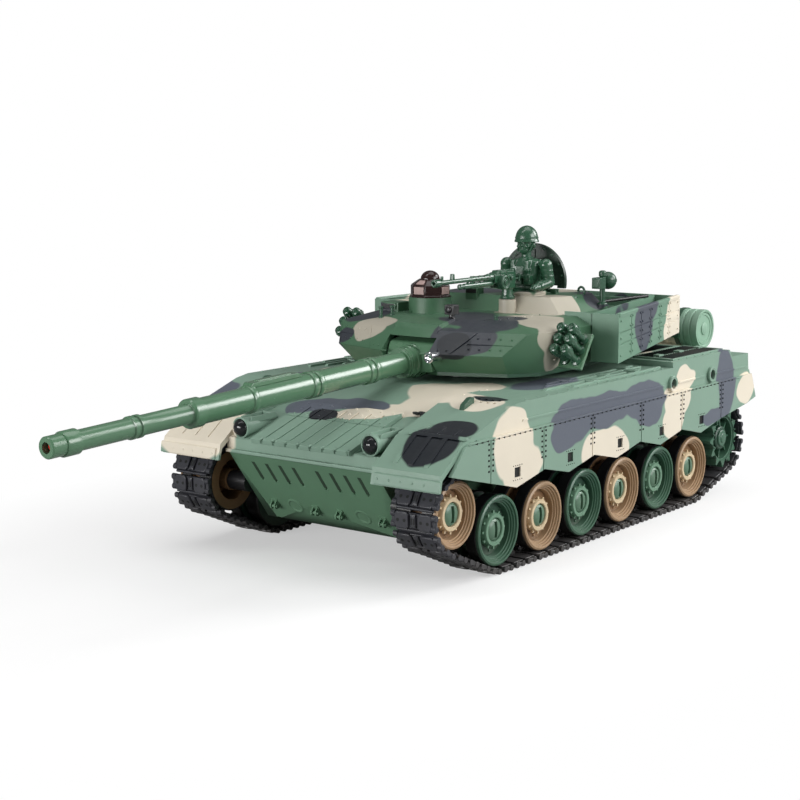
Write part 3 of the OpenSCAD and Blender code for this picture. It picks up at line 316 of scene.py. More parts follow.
def new_tree(name, inputs):
    tree = bpy.data.node_groups.new(name, "GeometryNodeTree")
    tree.interface.new_socket("Geometry", in_out="INPUT", socket_type="NodeSocketGeometry")
    keys = {}
    for label, kind in inputs:
        keys[label] = tree.interface.new_socket(label, in_out="INPUT", socket_type=kind).identifier
    tree.interface.new_socket("Geometry", in_out="OUTPUT", socket_type="NodeSocketGeometry")
    return tree, keys, tree.nodes.new("NodeGroupInput"), tree.nodes.new("NodeGroupOutput")


def put_copies(tree, source, last, points, part, outward, lengthwise, **more):
    """Copies of a part turned to two directions, then Realize Instances, Set Material and out."""
    solid = add(tree, "GeometryNodeObjectInfo", Object=part).outputs["Geometry"]
    align = "FunctionNodeAlignRotationToVector"
    stand = add(tree, align, {"axis": "Z"}, Vector=outward).outputs[0]
    turn = add(tree, align, {"axis": "X", "pivot_axis": "Z"}, Rotation=stand, Vector=lengthwise).outputs[0]
    put = add(tree, "GeometryNodeInstanceOnPoints", Points=points, Instance=solid, Rotation=turn, **more)
    real = add(tree, "GeometryNodeRealizeInstances", i0=put.outputs[0])
    paint = add(tree, "GeometryNodeSetMaterial", Geometry=real.outputs[0], Material=source.outputs["Finish"])
    tree.links.new(paint.outputs[0], last.inputs[0])


def placed_tree():
    """Copies of a small part on points that carry an outward and a lengthwise direction."""
    tree, keys, source, last = new_tree("placed_copies", [
        ("Part", "NodeSocketObject"), ("Size", "NodeSocketFloat"), ("Finish", "NodeSocketMaterial")])
    ways = [add(tree, "GeometryNodeInputNamedAttribute", {"data_type": "FLOAT_VECTOR"},
            Name=label).outputs["Attribute"]
            for label in ("outward", "lengthwise")]
    put_copies(tree, source, last, source.outputs["Geometry"], source.outputs["Part"], *ways,
               Scale=source.outputs["Size"])
    return tree, keys


def loop_tree():
    """Links spaced evenly round a closed loop that lies in the plane across x."""
    tree, keys, source, last = new_tree("links_round_a_loop", [
        ("Link", "NodeSocketObject"), ("Links", "NodeSocketInt"), ("Finish", "NodeSocketMaterial")])
    curve = add(tree, "GeometryNodeMeshToCurve", Mesh=source.outputs["Geometry"]).outputs[0]
    even = add(tree, "GeometryNodeResampleCurve", Curve=curve, Count=source.outputs["Links"]).outputs[0]
    tangent = tree.nodes.new("GeometryNodeInputTangent").outputs[0]
    cross = add(tree, "ShaderNodeVectorMath", {"operation": "CROSS_PRODUCT"}, i0=ACROSS, i1=tangent).outputs[0]
    put_copies(tree, source, last, even, source.outputs["Link"], cross, ACROSS)
    return tree, keys


def run_tree(name, base, tree, keys, values):
    obj = link(name, base)
    nodes = obj.modifiers.new("copies", "NODES")
    nodes.node_group = tree
    for label, value in values.items():
        nodes[keys[label]] = value
    return settle(obj)


PLACED, PLACED_KEYS = placed_tree()
LOOP, LOOP_KEYS = loop_tree()


def copies(name, part, places, finish, body, size=1.0):
    """Copies of a part at (place, outward, lengthwise) spots, as one piece of a body."""
    base = bpy.data.meshes.new(name)
    base.from_pydata([at(*p[0]) for p in places], [], [])
    for k, label in ((1, "outward"), (2, "lengthwise")):
        way = base.attributes.new(label, "FLOAT_VECTOR", "POINT")
        for i, p in enumerate(places):
            way.data[i].vector = Vector(p[k])
    master = link(name + "_part", part)
    obj = run_tree(name, base, PLACED, PLACED_KEYS, {"Part": master, "Size": size, "Finish": finish})
    bpy.data.objects.remove(master)
    smooth(obj.data)
    return fit_piece(obj, None, body)


def local(shape_maker):
    """A part modelled about the origin in millimetres, for copies."""
    shape = Shape(Matrix.Translation((0, MID_STATION, 0)))
    shape_maker(shape)
    return shape.mesh("part")


def rivet_part(r, h):
    profile = [(r, -0.3), (r, h * 0.3), (r * 0.8, h * 0.75), (r * 0.4, h), (0, h)]
    return local(lambda p: p.spin(profile, (0, 0, 0), UP, 10))


# Finishes


def srgb(r, g, b):
    lift = lambda v: v / 12.92 if v <= 0.04045 else ((v + 0.055) / 1.055) ** 2.4
    return tuple(lift(v / 255) for v in (r, g, b)) + (1.0,)


GREEN = srgb(122, 150, 133)
CREAM = srgb(217, 208, 190)
GREY = srgb(88, 94, 105)
# Grey camouflage drawn darker where it lies in shade: part real grey, part painted shade.
SHADED_GREY = srgb(26, 31, 37)
DARK_GREEN = srgb(44, 80, 60)
NOSE_GREEN = srgb(92, 128, 101)
WHEEL_GREEN = srgb(64, 100, 80)
WHEEL_TAN = srgb(166, 137, 106)


def shader_group(name, inputs, outputs):
    tree = bpy.data.node_groups.new(name, "ShaderNodeTree")
    for label, kind, value in inputs:
        socket = tree.interface.new_socket(label, in_out="INPUT", socket_type=kind)
        if value is not None:
            socket.default_value = value
    for label, kind in outputs:
        tree.interface.new_socket(label, in_out="OUTPUT", socket_type=kind)
    return tree, tree.nodes.new("NodeGroupInput"), tree.nodes.new("NodeGroupOutput")


def math_node(tree, op, a, b=0.0, c=0.0):
    return add(tree, "ShaderNodeMath", {"operation": op}, i0=a, i1=b, i2=c).outputs[0]


def vector_node(tree, op, a, b=(0, 0, 0)):
    node = add(tree, "ShaderNodeVectorMath", {"operation": op}, i0=a, i1=b)
    return node.outputs["Value" if op == "LENGTH" else 0]


def mix_node(tree, fac, a, b, blend="MIX"):
    return add(tree, "ShaderNodeMix", {"data_type": "RGBA", "blend_type": blend}, i0=fac, i6=a, i7=b).outputs[2]


def ramp_node(tree, value, low, high, out_low=0.0, out_high=1.0):
    return add(tree, "ShaderNodeMapRange", i0=value, i1=low, i2=high, i3=out_low, i4=out_high).outputs[0]


def noise_node(tree, vector, scale, detail=2.0):
    return add(tree, "ShaderNodeTexNoise", Vector=vector, Scale=scale, Detail=detail)


def seen_rays(tree):
    """One for rays that show a surface to the camera, zero for those that light other things."""
    path = tree.nodes.new("ShaderNodeLightPath")
    return math_node(tree, "MAXIMUM", path.outputs["Is Camera Ray"], path.outputs["Is Transmission Ray"])


def new_material(name):
    mat = bpy.data.materials.new(name)
    mat.use_nodes = True
    tree = mat.node_tree
    place = tree.nodes.new("ShaderNodeTexCoord").outputs["Object"]
    return mat, tree, tree.nodes["Principled BSDF"], place


def moulded_group():
    """Moulded plastic: faint mottling, flow marks, grain and uneven gloss."""
    tree, source, last = shader_group("moulded_plastic", [
        ("Vector", "NodeSocketVector", None), ("Color", "NodeSocketColor", (1, 1, 1, 1)),
        ("Gloss", "NodeSocketFloat", 0.4), ("Mottle", "NodeSocketFloat", 0.06), ("Grain", "NodeSocketFloat", 900.0),
        ("Dirt", "NodeSocketFloat", 0.1),
    ], [("Color", "NodeSocketColor"), ("Roughness", "NodeSocketFloat"), ("Height", "NodeSocketFloat")])
    vec = source.outputs["Vector"]
    cloud = noise_node(tree, vec, 60.0, 3.0).outputs[0]
    flow = noise_node(tree, vector_node(tree, "MULTIPLY", vec, (1.0, 0.25, 1.0)), 240.0, 2.0).outputs[0]
    grain = noise_node(tree, vec, source.outputs["Grain"], 2.0).outputs[0]
    both = math_node(tree, "ADD", math_node(tree, "MULTIPLY", cloud, 0.65), math_node(tree, "MULTIPLY", flow, 0.35))
    swing = math_node(tree, "MULTIPLY", math_node(tree, "SUBTRACT", both, 0.5), source.outputs["Mottle"])
    level = math_node(tree, "ADD", math_node(tree, "MULTIPLY", swing, 4.0), 1.0)
    tint = add(tree, "ShaderNodeCombineColor", i0=level, i1=level, i2=level)
    color = mix_node(tree, 1.0, source.outputs["Color"], tint.outputs[0], "MULTIPLY")
    height = add(tree, "ShaderNodeSeparateXYZ", i0=vec).outputs[2]
    # Colour darkens towards a dull brown near the floor, by the Darkening amount.
    low_mask = ramp_node(tree, math_node(tree, "ADD", height, math_node(tree, "MULTIPLY", cloud, 0.03)), 0.045, 0.012)
    darkened_low = mix_node(tree, math_node(tree, "MULTIPLY", low_mask, source.outputs["Dirt"]), color, (0.16, 0.14, 0.11, 1))
    uneven = math_node(tree, "MULTIPLY", math_node(tree, "SUBTRACT", flow, 0.5), 0.22)
    rough = math_node(tree, "ADD", source.outputs["Gloss"], uneven)
    join(tree, last, Color=darkened_low, Roughness=rough, Height=grain)
    return tree


MOULDED = moulded_group()


def camo_group(name, cream, grey, dark):
    """Sprayed patches: each is a place and its radii, merged softly, with a wandering edge."""
    tree, source, last = shader_group(name, [
        ("Vector", "NodeSocketVector", None), ("Green", "NodeSocketColor", GREEN),
        ("Cream", "NodeSocketColor", CREAM), ("Grey", "NodeSocketColor", GREY),
        ("Dark", "NodeSocketColor", SHADED_GREY), ("Edge", "NodeSocketFloat", 0.035),
    ], [("Color", "NodeSocketColor")])
    wander = noise_node(tree, source.outputs["Vector"], 70.0, 1.0).outputs["Color"]
    shift = vector_node(tree, "SUBTRACT", wander, (0.5, 0.5, 0.5))
    shift = vector_node(tree, "MULTIPLY", shift, (0.006, 0.006, 0.006))
    vec = vector_node(tree, "ADD", source.outputs["Vector"], shift)

    def field(patches):
        total = None
        for place, radii in patches:
            way = vector_node(tree, "SUBTRACT", vec, tuple(at(*place)))
            far = vector_node(tree, "LENGTH", vector_node(tree, "DIVIDE", way, tuple(r * MM for r in radii)))
            total = far if total is None else math_node(tree, "SMOOTH_MIN", total, far, 0.22)
        low = math_node(tree, "SUBTRACT", 1.0, source.outputs["Edge"])
        high = math_node(tree, "ADD", 1.0, source.outputs["Edge"])
        return ramp_node(tree, total, high, low)

    color = mix_node(tree, field(cream), source.outputs["Green"], source.outputs["Cream"])
    color = mix_node(tree, field(grey), color, source.outputs["Grey"])
    # The dark layer is grey camouflage darkened as painted shade.
    color = mix_node(tree, field(dark), color, source.outputs["Dark"])
    join(tree, last, Color=color)
    return tree


def flip(patches, span=290.0):
    """The far side gets the near side's patches, turned end for end."""
    return [((-x, span - s, z), r) for (x, s, z), r in patches]


SIDE_CREAM = [
    ((80, 52, 56), (15, 15, 16)), ((80, 54, 66), (13, 9, 7)), ((80, 62, 47), (15, 12, 9)),
    ((80, 58, 41), (15, 14, 5)), ((80, 126, 44), (15, 20, 9.5)), ((80, 140, 42), (15, 9, 6)),
    ((80, 193, 47), (15, 11, 9)), ((80, 197, 58), (15, 13, 9)), ((80, 207, 67), (15, 11, 6.5)),
    ((80, 272, 55), (15, 10, 8)),
]
SIDE_GREY = [
    ((80, 100, 60), (13, 17, 10.5)), ((80, 128, 62), (13, 24, 8.5)), ((80, 165, 62), (13, 21, 9)),
    ((80, 92, 54), (13, 11, 5.5)), ((80, 169, 55), (13, 12, 6)), ((80, 250, 60), (15, 10, 18)),
    ((80, 236, 45), (15, 14, 4.5)),
]
DECK_CREAM = [
    ((5, 36, 64), (8, 6, 9)), ((12, 40, 66), (9, 7, 9)), ((20, 45, 67), (11, 8, 8)), ((30, 51, 69), (12, 9, 8)),
    ((40, 58, 71), (22, 11, 8)), ((60, 53, 71), (13, 9, 8)), ((28, 72, 74), (17, 15, 8)),
    ((38, 86, 74), (13, 12, 8)), ((-62, 10, 55), (23, 22, 17)), ((-40, 96, 74), (20, 18, 7)),
    ((30, 214, 77), (24, 14, 6)), ((-34, 240, 77), (22, 16, 6)), ((30, 268, 76), (16, 12, 26)),
]
DECK_GREY = [
    ((-26, 40, 65), (12, 9, 8)), ((-14, 45, 67), (18, 8, 8)), ((0, 49, 68), (15, 7, 8)),
    ((57, 112, 74), (11, 24, 6)), ((-66, 150, 74), (12, 26, 6)), ((-22, 206, 77), (22, 13, 6)),
    ((16, 246, 77), (24, 12, 6)), ((-50, 66, 73), (13, 16, 6)),
]
# Dark patches on the fenders, slats and deck: grey camouflage darkened as painted shade.
DECK_SHADED_GREY = [
    ((-9, 33, 62), (9, 6, 7)), ((64, 17, 58), (13, 15, 13)), ((66, 28, 64), (12, 9, 8)), ((62, 60, 73), (9, 4, 5)),
]
TURRET_CREAM = [
    ((46, 121, 101), (12, 9, 6)), ((38, 131, 103), (15, 13, 8)), ((26, 150, 106), (17, 8, 9)),
    ((12.5, 146.5, 104), (6, 6, 9)), ((34, 160, 107), (16, 10, 8)), ((58, 121, 91), (9, 12, 14)),
    ((59, 112, 95), (6, 7, 7)), ((-30, 96, 95), (13, 12, 7)), ((-50, 146, 98), (14, 20, 8)),
    ((6, 190, 106), (20, 12, 8)), ((59, 232, 94), (13, 13, 14)), ((60, 224, 88), (12, 8, 7)),
    ((-62, 178, 92), (12, 14, 15)), ((-14, 240, 96), (18, 10, 12)),
]
TURRET_GREY = [
    ((18, 84, 94), (9, 14, 8)), ((30, 90, 95), (12, 12, 7)), ((30, 106, 101), (15, 12, 6)),
    ((14, 110, 102), (14, 14, 7)), ((4, 128, 103), (13, 12, 7)), ((26, 122, 102), (13, 9, 6)),
    ((65, 186, 96), (14, 13, 14)), ((64, 194, 103), (14, 11, 6)), ((-46, 112, 98), (15, 13, 9)),
    ((-22, 168, 108), (17, 14, 8)), ((36, 190, 105), (12, 14, 6)), ((-60, 216, 96), (12, 14, 13)),
    ((24, 240, 92), (14, 10, 12)), ((-46, 98, 89), (8, 9, 6)),
]
# Dark patch on the turret front: grey camouflage darkened as painted shade.
TURRET_SHADED_GREY = [((23, 88, 92), (9, 9, 6))]
HULL_CAMO = camo_group("hull_camouflage", SIDE_CREAM + flip(SIDE_CREAM) + DECK_CREAM,
        SIDE_GREY + flip(SIDE_GREY) + DECK_GREY, DECK_SHADED_GREY)
TURRET_CAMO = camo_group("turret_camouflage", TURRET_CREAM, TURRET_GREY, TURRET_SHADED_GREY)


def plastic(name, color, gloss=0.4, mottle=0.06, grain=900.0, bump=0.12, dirt=0.1, metal=0.0, coat=0.0,
            camo=None, tones=None):
    """A moulded finish of one colour, or a sprayed one with a patch group and its tones."""
    mat, tree, shader, vec = new_material(name)
    if camo is not None:
        spray = add(tree, "ShaderNodeGroup", {"node_tree": camo}, Vector=vec, **(tones or {}))
        color = spray.outputs["Color"]
    skin = add(tree, "ShaderNodeGroup", {"node_tree": MOULDED},
               Vector=vec, Color=color, Gloss=gloss, Mottle=mottle, Grain=grain, Dirt=dirt)
    lumps = add(tree, "ShaderNodeBump", Strength=bump, Distance=0.0002, Height=skin.outputs["Height"])
    join(tree, shader, Base_Color=skin.outputs["Color"], Roughness=skin.outputs["Roughness"],
         Normal=lumps.outputs[0], Metallic=metal, Coat_Weight=coat, Coat_Roughness=0.25)
    return mat


hull_paint = plastic("hull camouflage paint", None, 0.42, 0.035, camo=HULL_CAMO)
# The turret's tones are darker than the hull's for the shade on its front faces: painted shade.
shaded_turret_paint = plastic("shaded turret camouflage paint", None, 0.42, 0.035, camo=TURRET_CAMO,
        tones={"Green": srgb(68, 104, 78), "Grey": srgb(50, 54, 61), "Cream": srgb(174, 168, 153)})
# The baskets' copy of the turret camouflage takes lighter tones than the turret's painted-shade ones.
basket_paint = plastic("basket camouflage paint", None, 0.42, 0.035, camo=TURRET_CAMO,
        tones={"Green": srgb(104, 138, 117), "Grey": srgb(72, 77, 87)})
# The drums take a lighter green than the hull for the light from the side: painted light.
lit_drum_paint = plastic("drum camouflage paint with painted light", None, 0.42, 0.035, camo=HULL_CAMO, tones={"Green": srgb(134, 168, 146)})
tub_plastic = plastic("green tub plastic", NOSE_GREEN, 0.45)
gun_plastic = plastic("barrel green plastic", srgb(80, 118, 89), 0.24, 0.03, coat=0.6)
fitting_plastic = plastic("dark green fitting plastic", DARK_GREEN, 0.33, coat=0.2)
# Near-black green for the hatch lid: painted shade on its face.
shaded_hatch_green = plastic("hatch green in painted shade", srgb(28, 50, 38), 0.4)
figure_plastic = plastic("figure green plastic", srgb(43, 82, 60), 0.26, 0.05, coat=0.5)
green_wheel = plastic("green wheel plastic", WHEEL_GREEN, 0.32, 0.05, dirt=0.12)
# Wheel dishes drawn darker than the rims: painted shade in the dish.
shaded_dish_green = plastic("green wheel dish painted shade", srgb(38, 70, 54), 0.4, 0.06, dirt=0.25)
shaded_dish_tan = plastic("tan wheel dish painted shade", srgb(128, 98, 68), 0.45, 0.06, dirt=0.3)
tan_wheel = plastic("tan wheel plastic", WHEEL_TAN, 0.4, 0.05, dirt=0.15)
ring_green = plastic("green hub ring plastic", srgb(104, 140, 116), 0.35)
ring_tan = plastic("tan hub ring plastic", srgb(206, 186, 152), 0.4)
hub_green = plastic("hub cap green", srgb(88, 120, 98), 0.35)
track_rubber = plastic("track rubber", srgb(47, 48, 54), 0.42, 0.12, 700.0, 0.3, dirt=0.25)
black_plastic = plastic("black plastic", srgb(26, 26, 28), 0.35)
# Dark green for painted shade in slots.
shaded_slot_green = plastic("shaded green recess", srgb(40, 60, 44), 0.6)
# Near-black finish for painted shade.
shade_dark = plastic("dark painted shade", srgb(16, 19, 17), 0.8, bump=0.02)
grille_plastic = plastic("dark grille plastic", srgb(38, 44, 42), 0.5)
steel = plastic("bright steel", srgb(196, 196, 200), 0.25, 0.04, metal=1.0, dirt=0.0)
chrome = plastic("plated reflector", srgb(226, 228, 232), 0.08, 0.02, bump=0.03, metal=1.0, dirt=0.0)
gear_plastic = plastic("gear plastic", srgb(222, 214, 190), 0.45)
cell_sleeve = plastic("cell sleeve", srgb(158, 112, 60), 0.3)
board_resin = plastic("board resin", srgb(34, 92, 48), 0.35)


def clear_plastic(name, color, weight, gloss):
    """Clear or tinted plastic with a faintly uneven tone and gloss."""
    mat, tree, shader, vec = new_material(name)
    cloud = noise_node(tree, vec, 160.0, 2.0).outputs[0]
    tint = mix_node(tree, ramp_node(tree, cloud, 0.3, 0.7), color, tuple(v * 0.8 for v in color[:3]) + (1,))
    shade = ramp_node(tree, cloud, 0.0, 1.0, gloss * 0.8, gloss * 1.3)
    join(tree, shader, Base_Color=tint, Roughness=shade, Transmission_Weight=weight, IOR=1.46)
    return mat


smoked = clear_plastic("smoked clear plastic", srgb(52, 34, 32), 0.25, 0.12)
window_pane = clear_plastic("pale window plastic", srgb(206, 178, 172), 0.25, 0.25)
red_lens = clear_plastic("red lamp plastic", srgb(196, 36, 30), 0.2, 0.12)
clear_lens = clear_plastic("dark lamp lens", srgb(30, 32, 34), 0.0, 0.05)

# Camera, light and floor

# The photograph's camera: place, turn, tilt and roll in degrees, focal length in widths of the picture
CAMERA_PLACE = (457.8, -517.4, 181.4)
CAMERA_TURNS = (37.629, 8.775, -0.232)
CAMERA_FOCUS = 1636.41 / 800
SENSOR = 36.0


def set_stage():
    scene = bpy.context.scene
    turn, tilt, roll = (radians(v) for v in CAMERA_TURNS)
    back = Vector((sin(turn) * cos(tilt), -cos(turn) * cos(tilt), sin(tilt)))
    right = Vector((cos(turn), sin(turn), 0))
    up = back.cross(right)
    right, up = cos(roll) * right + sin(roll) * up, cos(roll) * up - sin(roll) * right
    lens = bpy.data.cameras.new("camera")
    lens.sensor_width = SENSOR
    lens.lens = SENSOR * CAMERA_FOCUS
    lens.clip_start = 0.01
    camera = link("camera", lens)
    place = at(*CAMERA_PLACE)
    camera.matrix_world = Matrix([[right[i], up[i], back[i], place[i]] for i in range(3)] + [[0, 0, 0, 1]])
    scene.camera = camera

    def softbox(name, place, target, size, power):
        lamp = bpy.data.lights.new(name, "AREA")
        lamp.shape = "RECTANGLE"
        lamp.size, lamp.size_y = size
        lamp.energy = power
        obj = link(name, lamp)
        obj.location = place
        obj.rotation_euler = (Vector(target) - Vector(place)).to_track_quat("-Z", "Y").to_euler()

    softbox("side softbox", (1.25, 0.25, 0.55), (0, 0.05, 0.05), (0.9, 0.6), 12.2)
    softbox("rear softbox", (0.62, 0.85, 0.60), (0, 0.05, 0.05), (0.5, 0.5), 8.0)
    softbox("top softbox", (0.1, 0.25, 1.3), (0, 0.05, 0.05), (1.0, 0.8), 4.6)
    softbox("overhead strip", (-0.25, -0.45, 1.1), (0, -0.1, 0.05), (0.12, 0.9), 2.4)
    softbox("front strip", (-0.3, -1.3, 0.24), (0, -0.05, 0.05), (1.0, 0.3), 12.5)

    world = bpy.data.worlds.new("studio")
    scene.world = world
    world.use_nodes = True
    tree = world.node_tree
    level = ramp_node(tree, seen_rays(tree), 0.0, 1.0, 0.16, 1.0)
    join(tree, tree.nodes["Background"], Color=(1, 1, 1, 1), Strength=level)

    floor = Shape()
    floor.box(-2500, 2500, -2500, 2500, -4, -0.02)
    obj = link("floor", floor.mesh("floor"))
    mat, tree, shader, vec = new_material("pale floor")
    far = vector_node(tree, "LENGTH", vector_node(tree, "MULTIPLY", vec, (1.6, 1.0, 0.0)))
    fade = ramp_node(tree, far, 0.12, 0.36, 0.45, 1.0)
    seen = seen_rays(tree)
    bright = add(tree, "ShaderNodeEmission", Color=(1, 1, 1, 1)).outputs[0]
    fade = math_node(tree, "MULTIPLY", fade, seen)
    mix = add(tree, "ShaderNodeMixShader", i0=fade, i1=shader.outputs[0], i2=bright)
    join(tree, tree.nodes["Material Output"], Surface=mix.outputs[0])
    tone = mix_node(tree, seen, (0.32, 0.32, 0.32, 1), (0.95, 0.95, 0.95, 1))
    join(tree, shader, Base_Color=tone, Roughness=0.9)
    obj.data.materials.append(mat)
    scene.view_settings.view_transform = "Standard"


set_stage()

# Running gear


def track_loop():
    """Middle line of the track round idler, sprocket, last and first road wheel."""
    rounds = [IDLER, SPROCKET, (WHEEL_S[-1], WHEEL_Z, WHEEL_R), (WHEEL_S[0], WHEEL_Z, WHEEL_R)]
    rounds = [(s, z, r + TRACK_GAP + TRACK_T / 2) for s, z, r in rounds]
    lean = []
    for (s0, z0, r0), (s1, z1, r1) in zip(rounds, rounds[1:] + rounds[:1]):
        lean.append(atan2(z1 - z0, s1 - s0) + acos((r0 - r1) / hypot(s1 - s0, z1 - z0)))
    points = []
    for i, (s, z, r) in enumerate(rounds):
        start, stop = lean[i - 1], lean[i]
        sweep = (start - stop) % (2 * pi)
        steps = max(2, int(sweep / radians(4)))
        for k in range(steps + 1):
            a = start - sweep * k / steps
            points.append((s + r * cos(a), z + r * sin(a)))
    return points


def track_link(p):
    """One link about its middle: web, twin pads whose holes are dark discs of painted shade in a part of their own,
    centre block, end knobs, pins and a horn.
    """
    half = (TRACK_OUT - TRACK_IN) / 2
    p.box(-half + 1.6, half - 1.6, -3.3, 3.3, -1.2, 0.2)
    for x in (-5.9, 5.9):
        outline = [(x - 3.6, -2.4), (x - 2.6, -3.7), (x + 2.6, -3.7), (x + 3.6, -2.4),
                   (x + 3.6, 2.4), (x + 2.6, 3.7), (x - 2.6, 3.7), (x - 3.6, 2.4)]
        rise = [(1.0, 0.0), (1.0, 1.05), (0.86, 1.4)]
        rows = [[(x + (a - x) * k, s * k, z) for a, s in outline] for k, z in rise]
        p.skin(rows)
    block = [(-1.3, -3.0), (1.3, -3.0), (1.3, 3.0), (-1.3, 3.0)]
    p.skin([[(x * k, s * k, z) for x, s in block] for k, z in ((1, 0), (1, 0.9), (0.7, 1.3))])
    for x in (-half + 1.2, half - 1.2):
        for s in (-2.25, 2.25):
            ring = [(s + 1.5 * cos(a), 0.1 + 1.3 * sin(a)) for a in turns(8, 22.5)]
            p.prism(ring, x - 1.2, x + 1.2)
        p.box(x - 0.9, x + 0.9, -2.2, 2.2, -0.7, 0.7)
    p.rod((-half + 2.2, -4.2, -0.3), (half - 2.2, -4.2, -0.3), 0.7, seg=8)
    p.prism([(-1.9, -1.1), (1.9, -1.1), (0.9, -3.1), (-0.9, -3.1)], -1.2, 1.2)


def pad_hole_shade(p):
    """Dark discs and bars on a link's pads and centre block, as painted shade in their pockets."""
    for x in (-7.6, -4.2, 4.2, 7.6):
        p.spin([(0, 1.2), (0.75, 1.2), (0.75, 1.46), (0, 1.46)], (x, 0, 0), UP, 8)
    for x in (-0.55, 0.55):
        p.box(x - 0.3, x + 0.3, -1.4, 1.4, 1.0, 1.36)


def make_tracks():
    loop = track_loop()
    length = sum(dist(a, b) for a, b in zip(loop, loop[1:] + loop[:1]))
    count = round(length / LINK_PITCH)
    for side, name in SIDES:
        x = side * (TRACK_IN + TRACK_OUT) / 2
        base = bpy.data.meshes.new("track_" + name)
        base.from_pydata([at(x, s, z) for s, z in loop], [(i, (i + 1) % len(loop)) for i in range(len(loop))], [])
        kinds = (("links", track_link, track_rubber, ("track_" + name,)), ("pockets", pad_hole_shade, shade_dark, ()))
        for label, maker, finish, nodes in kinds:
            part = link("link", local(maker))
            soften(part, 0.14 if nodes else 0, 1)
            obj = run_tree("track_%s_%s" % (name, label), base.copy(), LOOP, LOOP_KEYS,
                    {"Link": part, "Links": count, "Finish": finish})
            bpy.data.objects.remove(part)
            smooth(obj.data)
            fit_piece(obj, None, "hull", nodes)


make_tracks()


def wheel_shapes(r, x_dir, place):
    """Dished wheel: stepped rim, a dish drawn dark as painted shade with its back ring, black tread bands as painted
    shade on the tread, and hub ring.
    """
    w = WHEEL_OUT - WHEEL_IN
    mid = w / 2
    rim = [
        (r - 4.5, w - 5.8), (r - 4.5, mid + 2.5), (r - 0.7, mid + 2.5), (r - 0.7, w - 1.6), (r, w - 1.5),
        (r, w - 1.1), (r - 0.35, w - 0.35), (r - 1.1, w), (r - 1.7, w - 0.15), (r - 1.85, w - 1.0),
        (r - 2.5, w - 1.1), (r - 2.65, w - 1.9), (r - 3.2, w - 2.0), (r - 3.35, w - 2.8), (r - 3.9, w - 2.9),
        (r - 4.1, w - 5.8),
    ]
    dish = [
        (2.06, 0), (5.0, 0), (5.0, mid + 2), (r - 5.2, mid + 2), (r - 5.2, 0), (r - 0.7, 0), (r - 0.7, mid - 2.5),
        (r - 3.2, mid - 2.5), (r - 3.2, mid + 2.7), (r - 4.3, mid + 2.7), (r - 4.3, w - 5.5), (2.06, w - 5.5),
    ]
    hub = [(5.2, w - 5.7), (7.4, w - 5.7), (7.3, w - 2.6), (6.9, w - 2.0), (5.5, w - 2.0), (5.2, w - 2.4)]
    bands = ((0.1, mid - 2.6), (mid + 2.6, w - 1.65))
    tread_shade = [[(r - 0.8, a), (r - 0.3, a), (r, a + 0.35), (r, b - 0.35), (r - 0.3, b), (r - 0.8, b)] for a, b in bands]
    out = []
    for profiles in ([rim], [dish], [hub], tread_shade):
        part = Shape()
        for profile in profiles:
            part.spin(profile, place, (x_dir, 0, 0), 64, loop=True)
        out.append(part)
    return out


def make_wheel(name, s, z, r, side, finish, slot, deep, pale):
    x0 = side * WHEEL_IN
    w = WHEEL_OUT - WHEEL_IN
    rim, dish, hub, tread_shade = wheel_shapes(r, side, (x0, s, z))
    # The dish, in the finish deep, and the black tread bands are painted shade.
    make_piece(name + "_rim", rim, finish, name, edge=0, node=name)
    make_piece(name + "_dish", dish, deep, name, edge=0)
    make_piece(name + "_hub", hub, pale, name, edge=0)
    make_piece(name + "_tyre", tread_shade, black_plastic, name, edge=0)
    lug = local(lambda q: q.prism([(-0.55, 0), (0.55, 0), (0.4, 1.5), (-0.4, 1.5)], -0.5, 0.5))
    face = x0 + side * (w - 4.6)
    round_hub = [(cos(a), sin(a)) for a in [2 * pi * k / 12 for k in range(12)]]
    spots = [((face + side * 1.2, s + 7.0 * c, z + 7.0 * d), (0, c, d), ACROSS) for c, d in round_hub]
    copies(name + "_lugs", lug, spots, pale, name)
    stud = rivet_part(0.7, 0.6)
    deep_face = x0 + side * (w - 5.5)
    spots = [((deep_face, s + (r - 6.2) * cos(a), z + (r - 6.2) * sin(a)), (side, 0, 0), UP)
             for a in turns(6, 30)]
    copies(name + "_studs", stud, spots, finish, name)
    cap = Shape()
    profile = [(0, -1.1), (4.95, -1.1), (4.95, 1.6), (4.5, 2.1), (3.4, 2.7), (1.8, 3.0), (0, 3.1)]
    cap.spin(profile, (face, s, z), (side, 0, 0), 40)
    obj = soften(link(name + "_cap", cap.mesh(name + "_cap")), 0)
    slit = Shape()
    slit.box(*sorted((x0 + side * (w - 3.2), x0 + side * (w + 1))), s - 0.9, s + 0.9, z - 3.6, z + 3.6)
    carve(obj, slit)
    soften(obj, 0.12)
    fit_piece(obj, hub_green, name, ())


GREEN_WHEEL = (green_wheel, "green", shaded_dish_green, ring_green)
TAN_WHEEL = (tan_wheel, "tan", shaded_dish_tan, ring_tan)
for side, label in SIDES:
    make_wheel("idler_" + label, *IDLER, side, *TAN_WHEEL)
    for k, s in enumerate(WHEEL_S):
        tone = TAN_WHEEL if k % 2 else GREEN_WHEEL
        make_wheel("road_wheel_%s_%d" % (label, k + 1), s, WHEEL_Z, WHEEL_R, side, *tone)


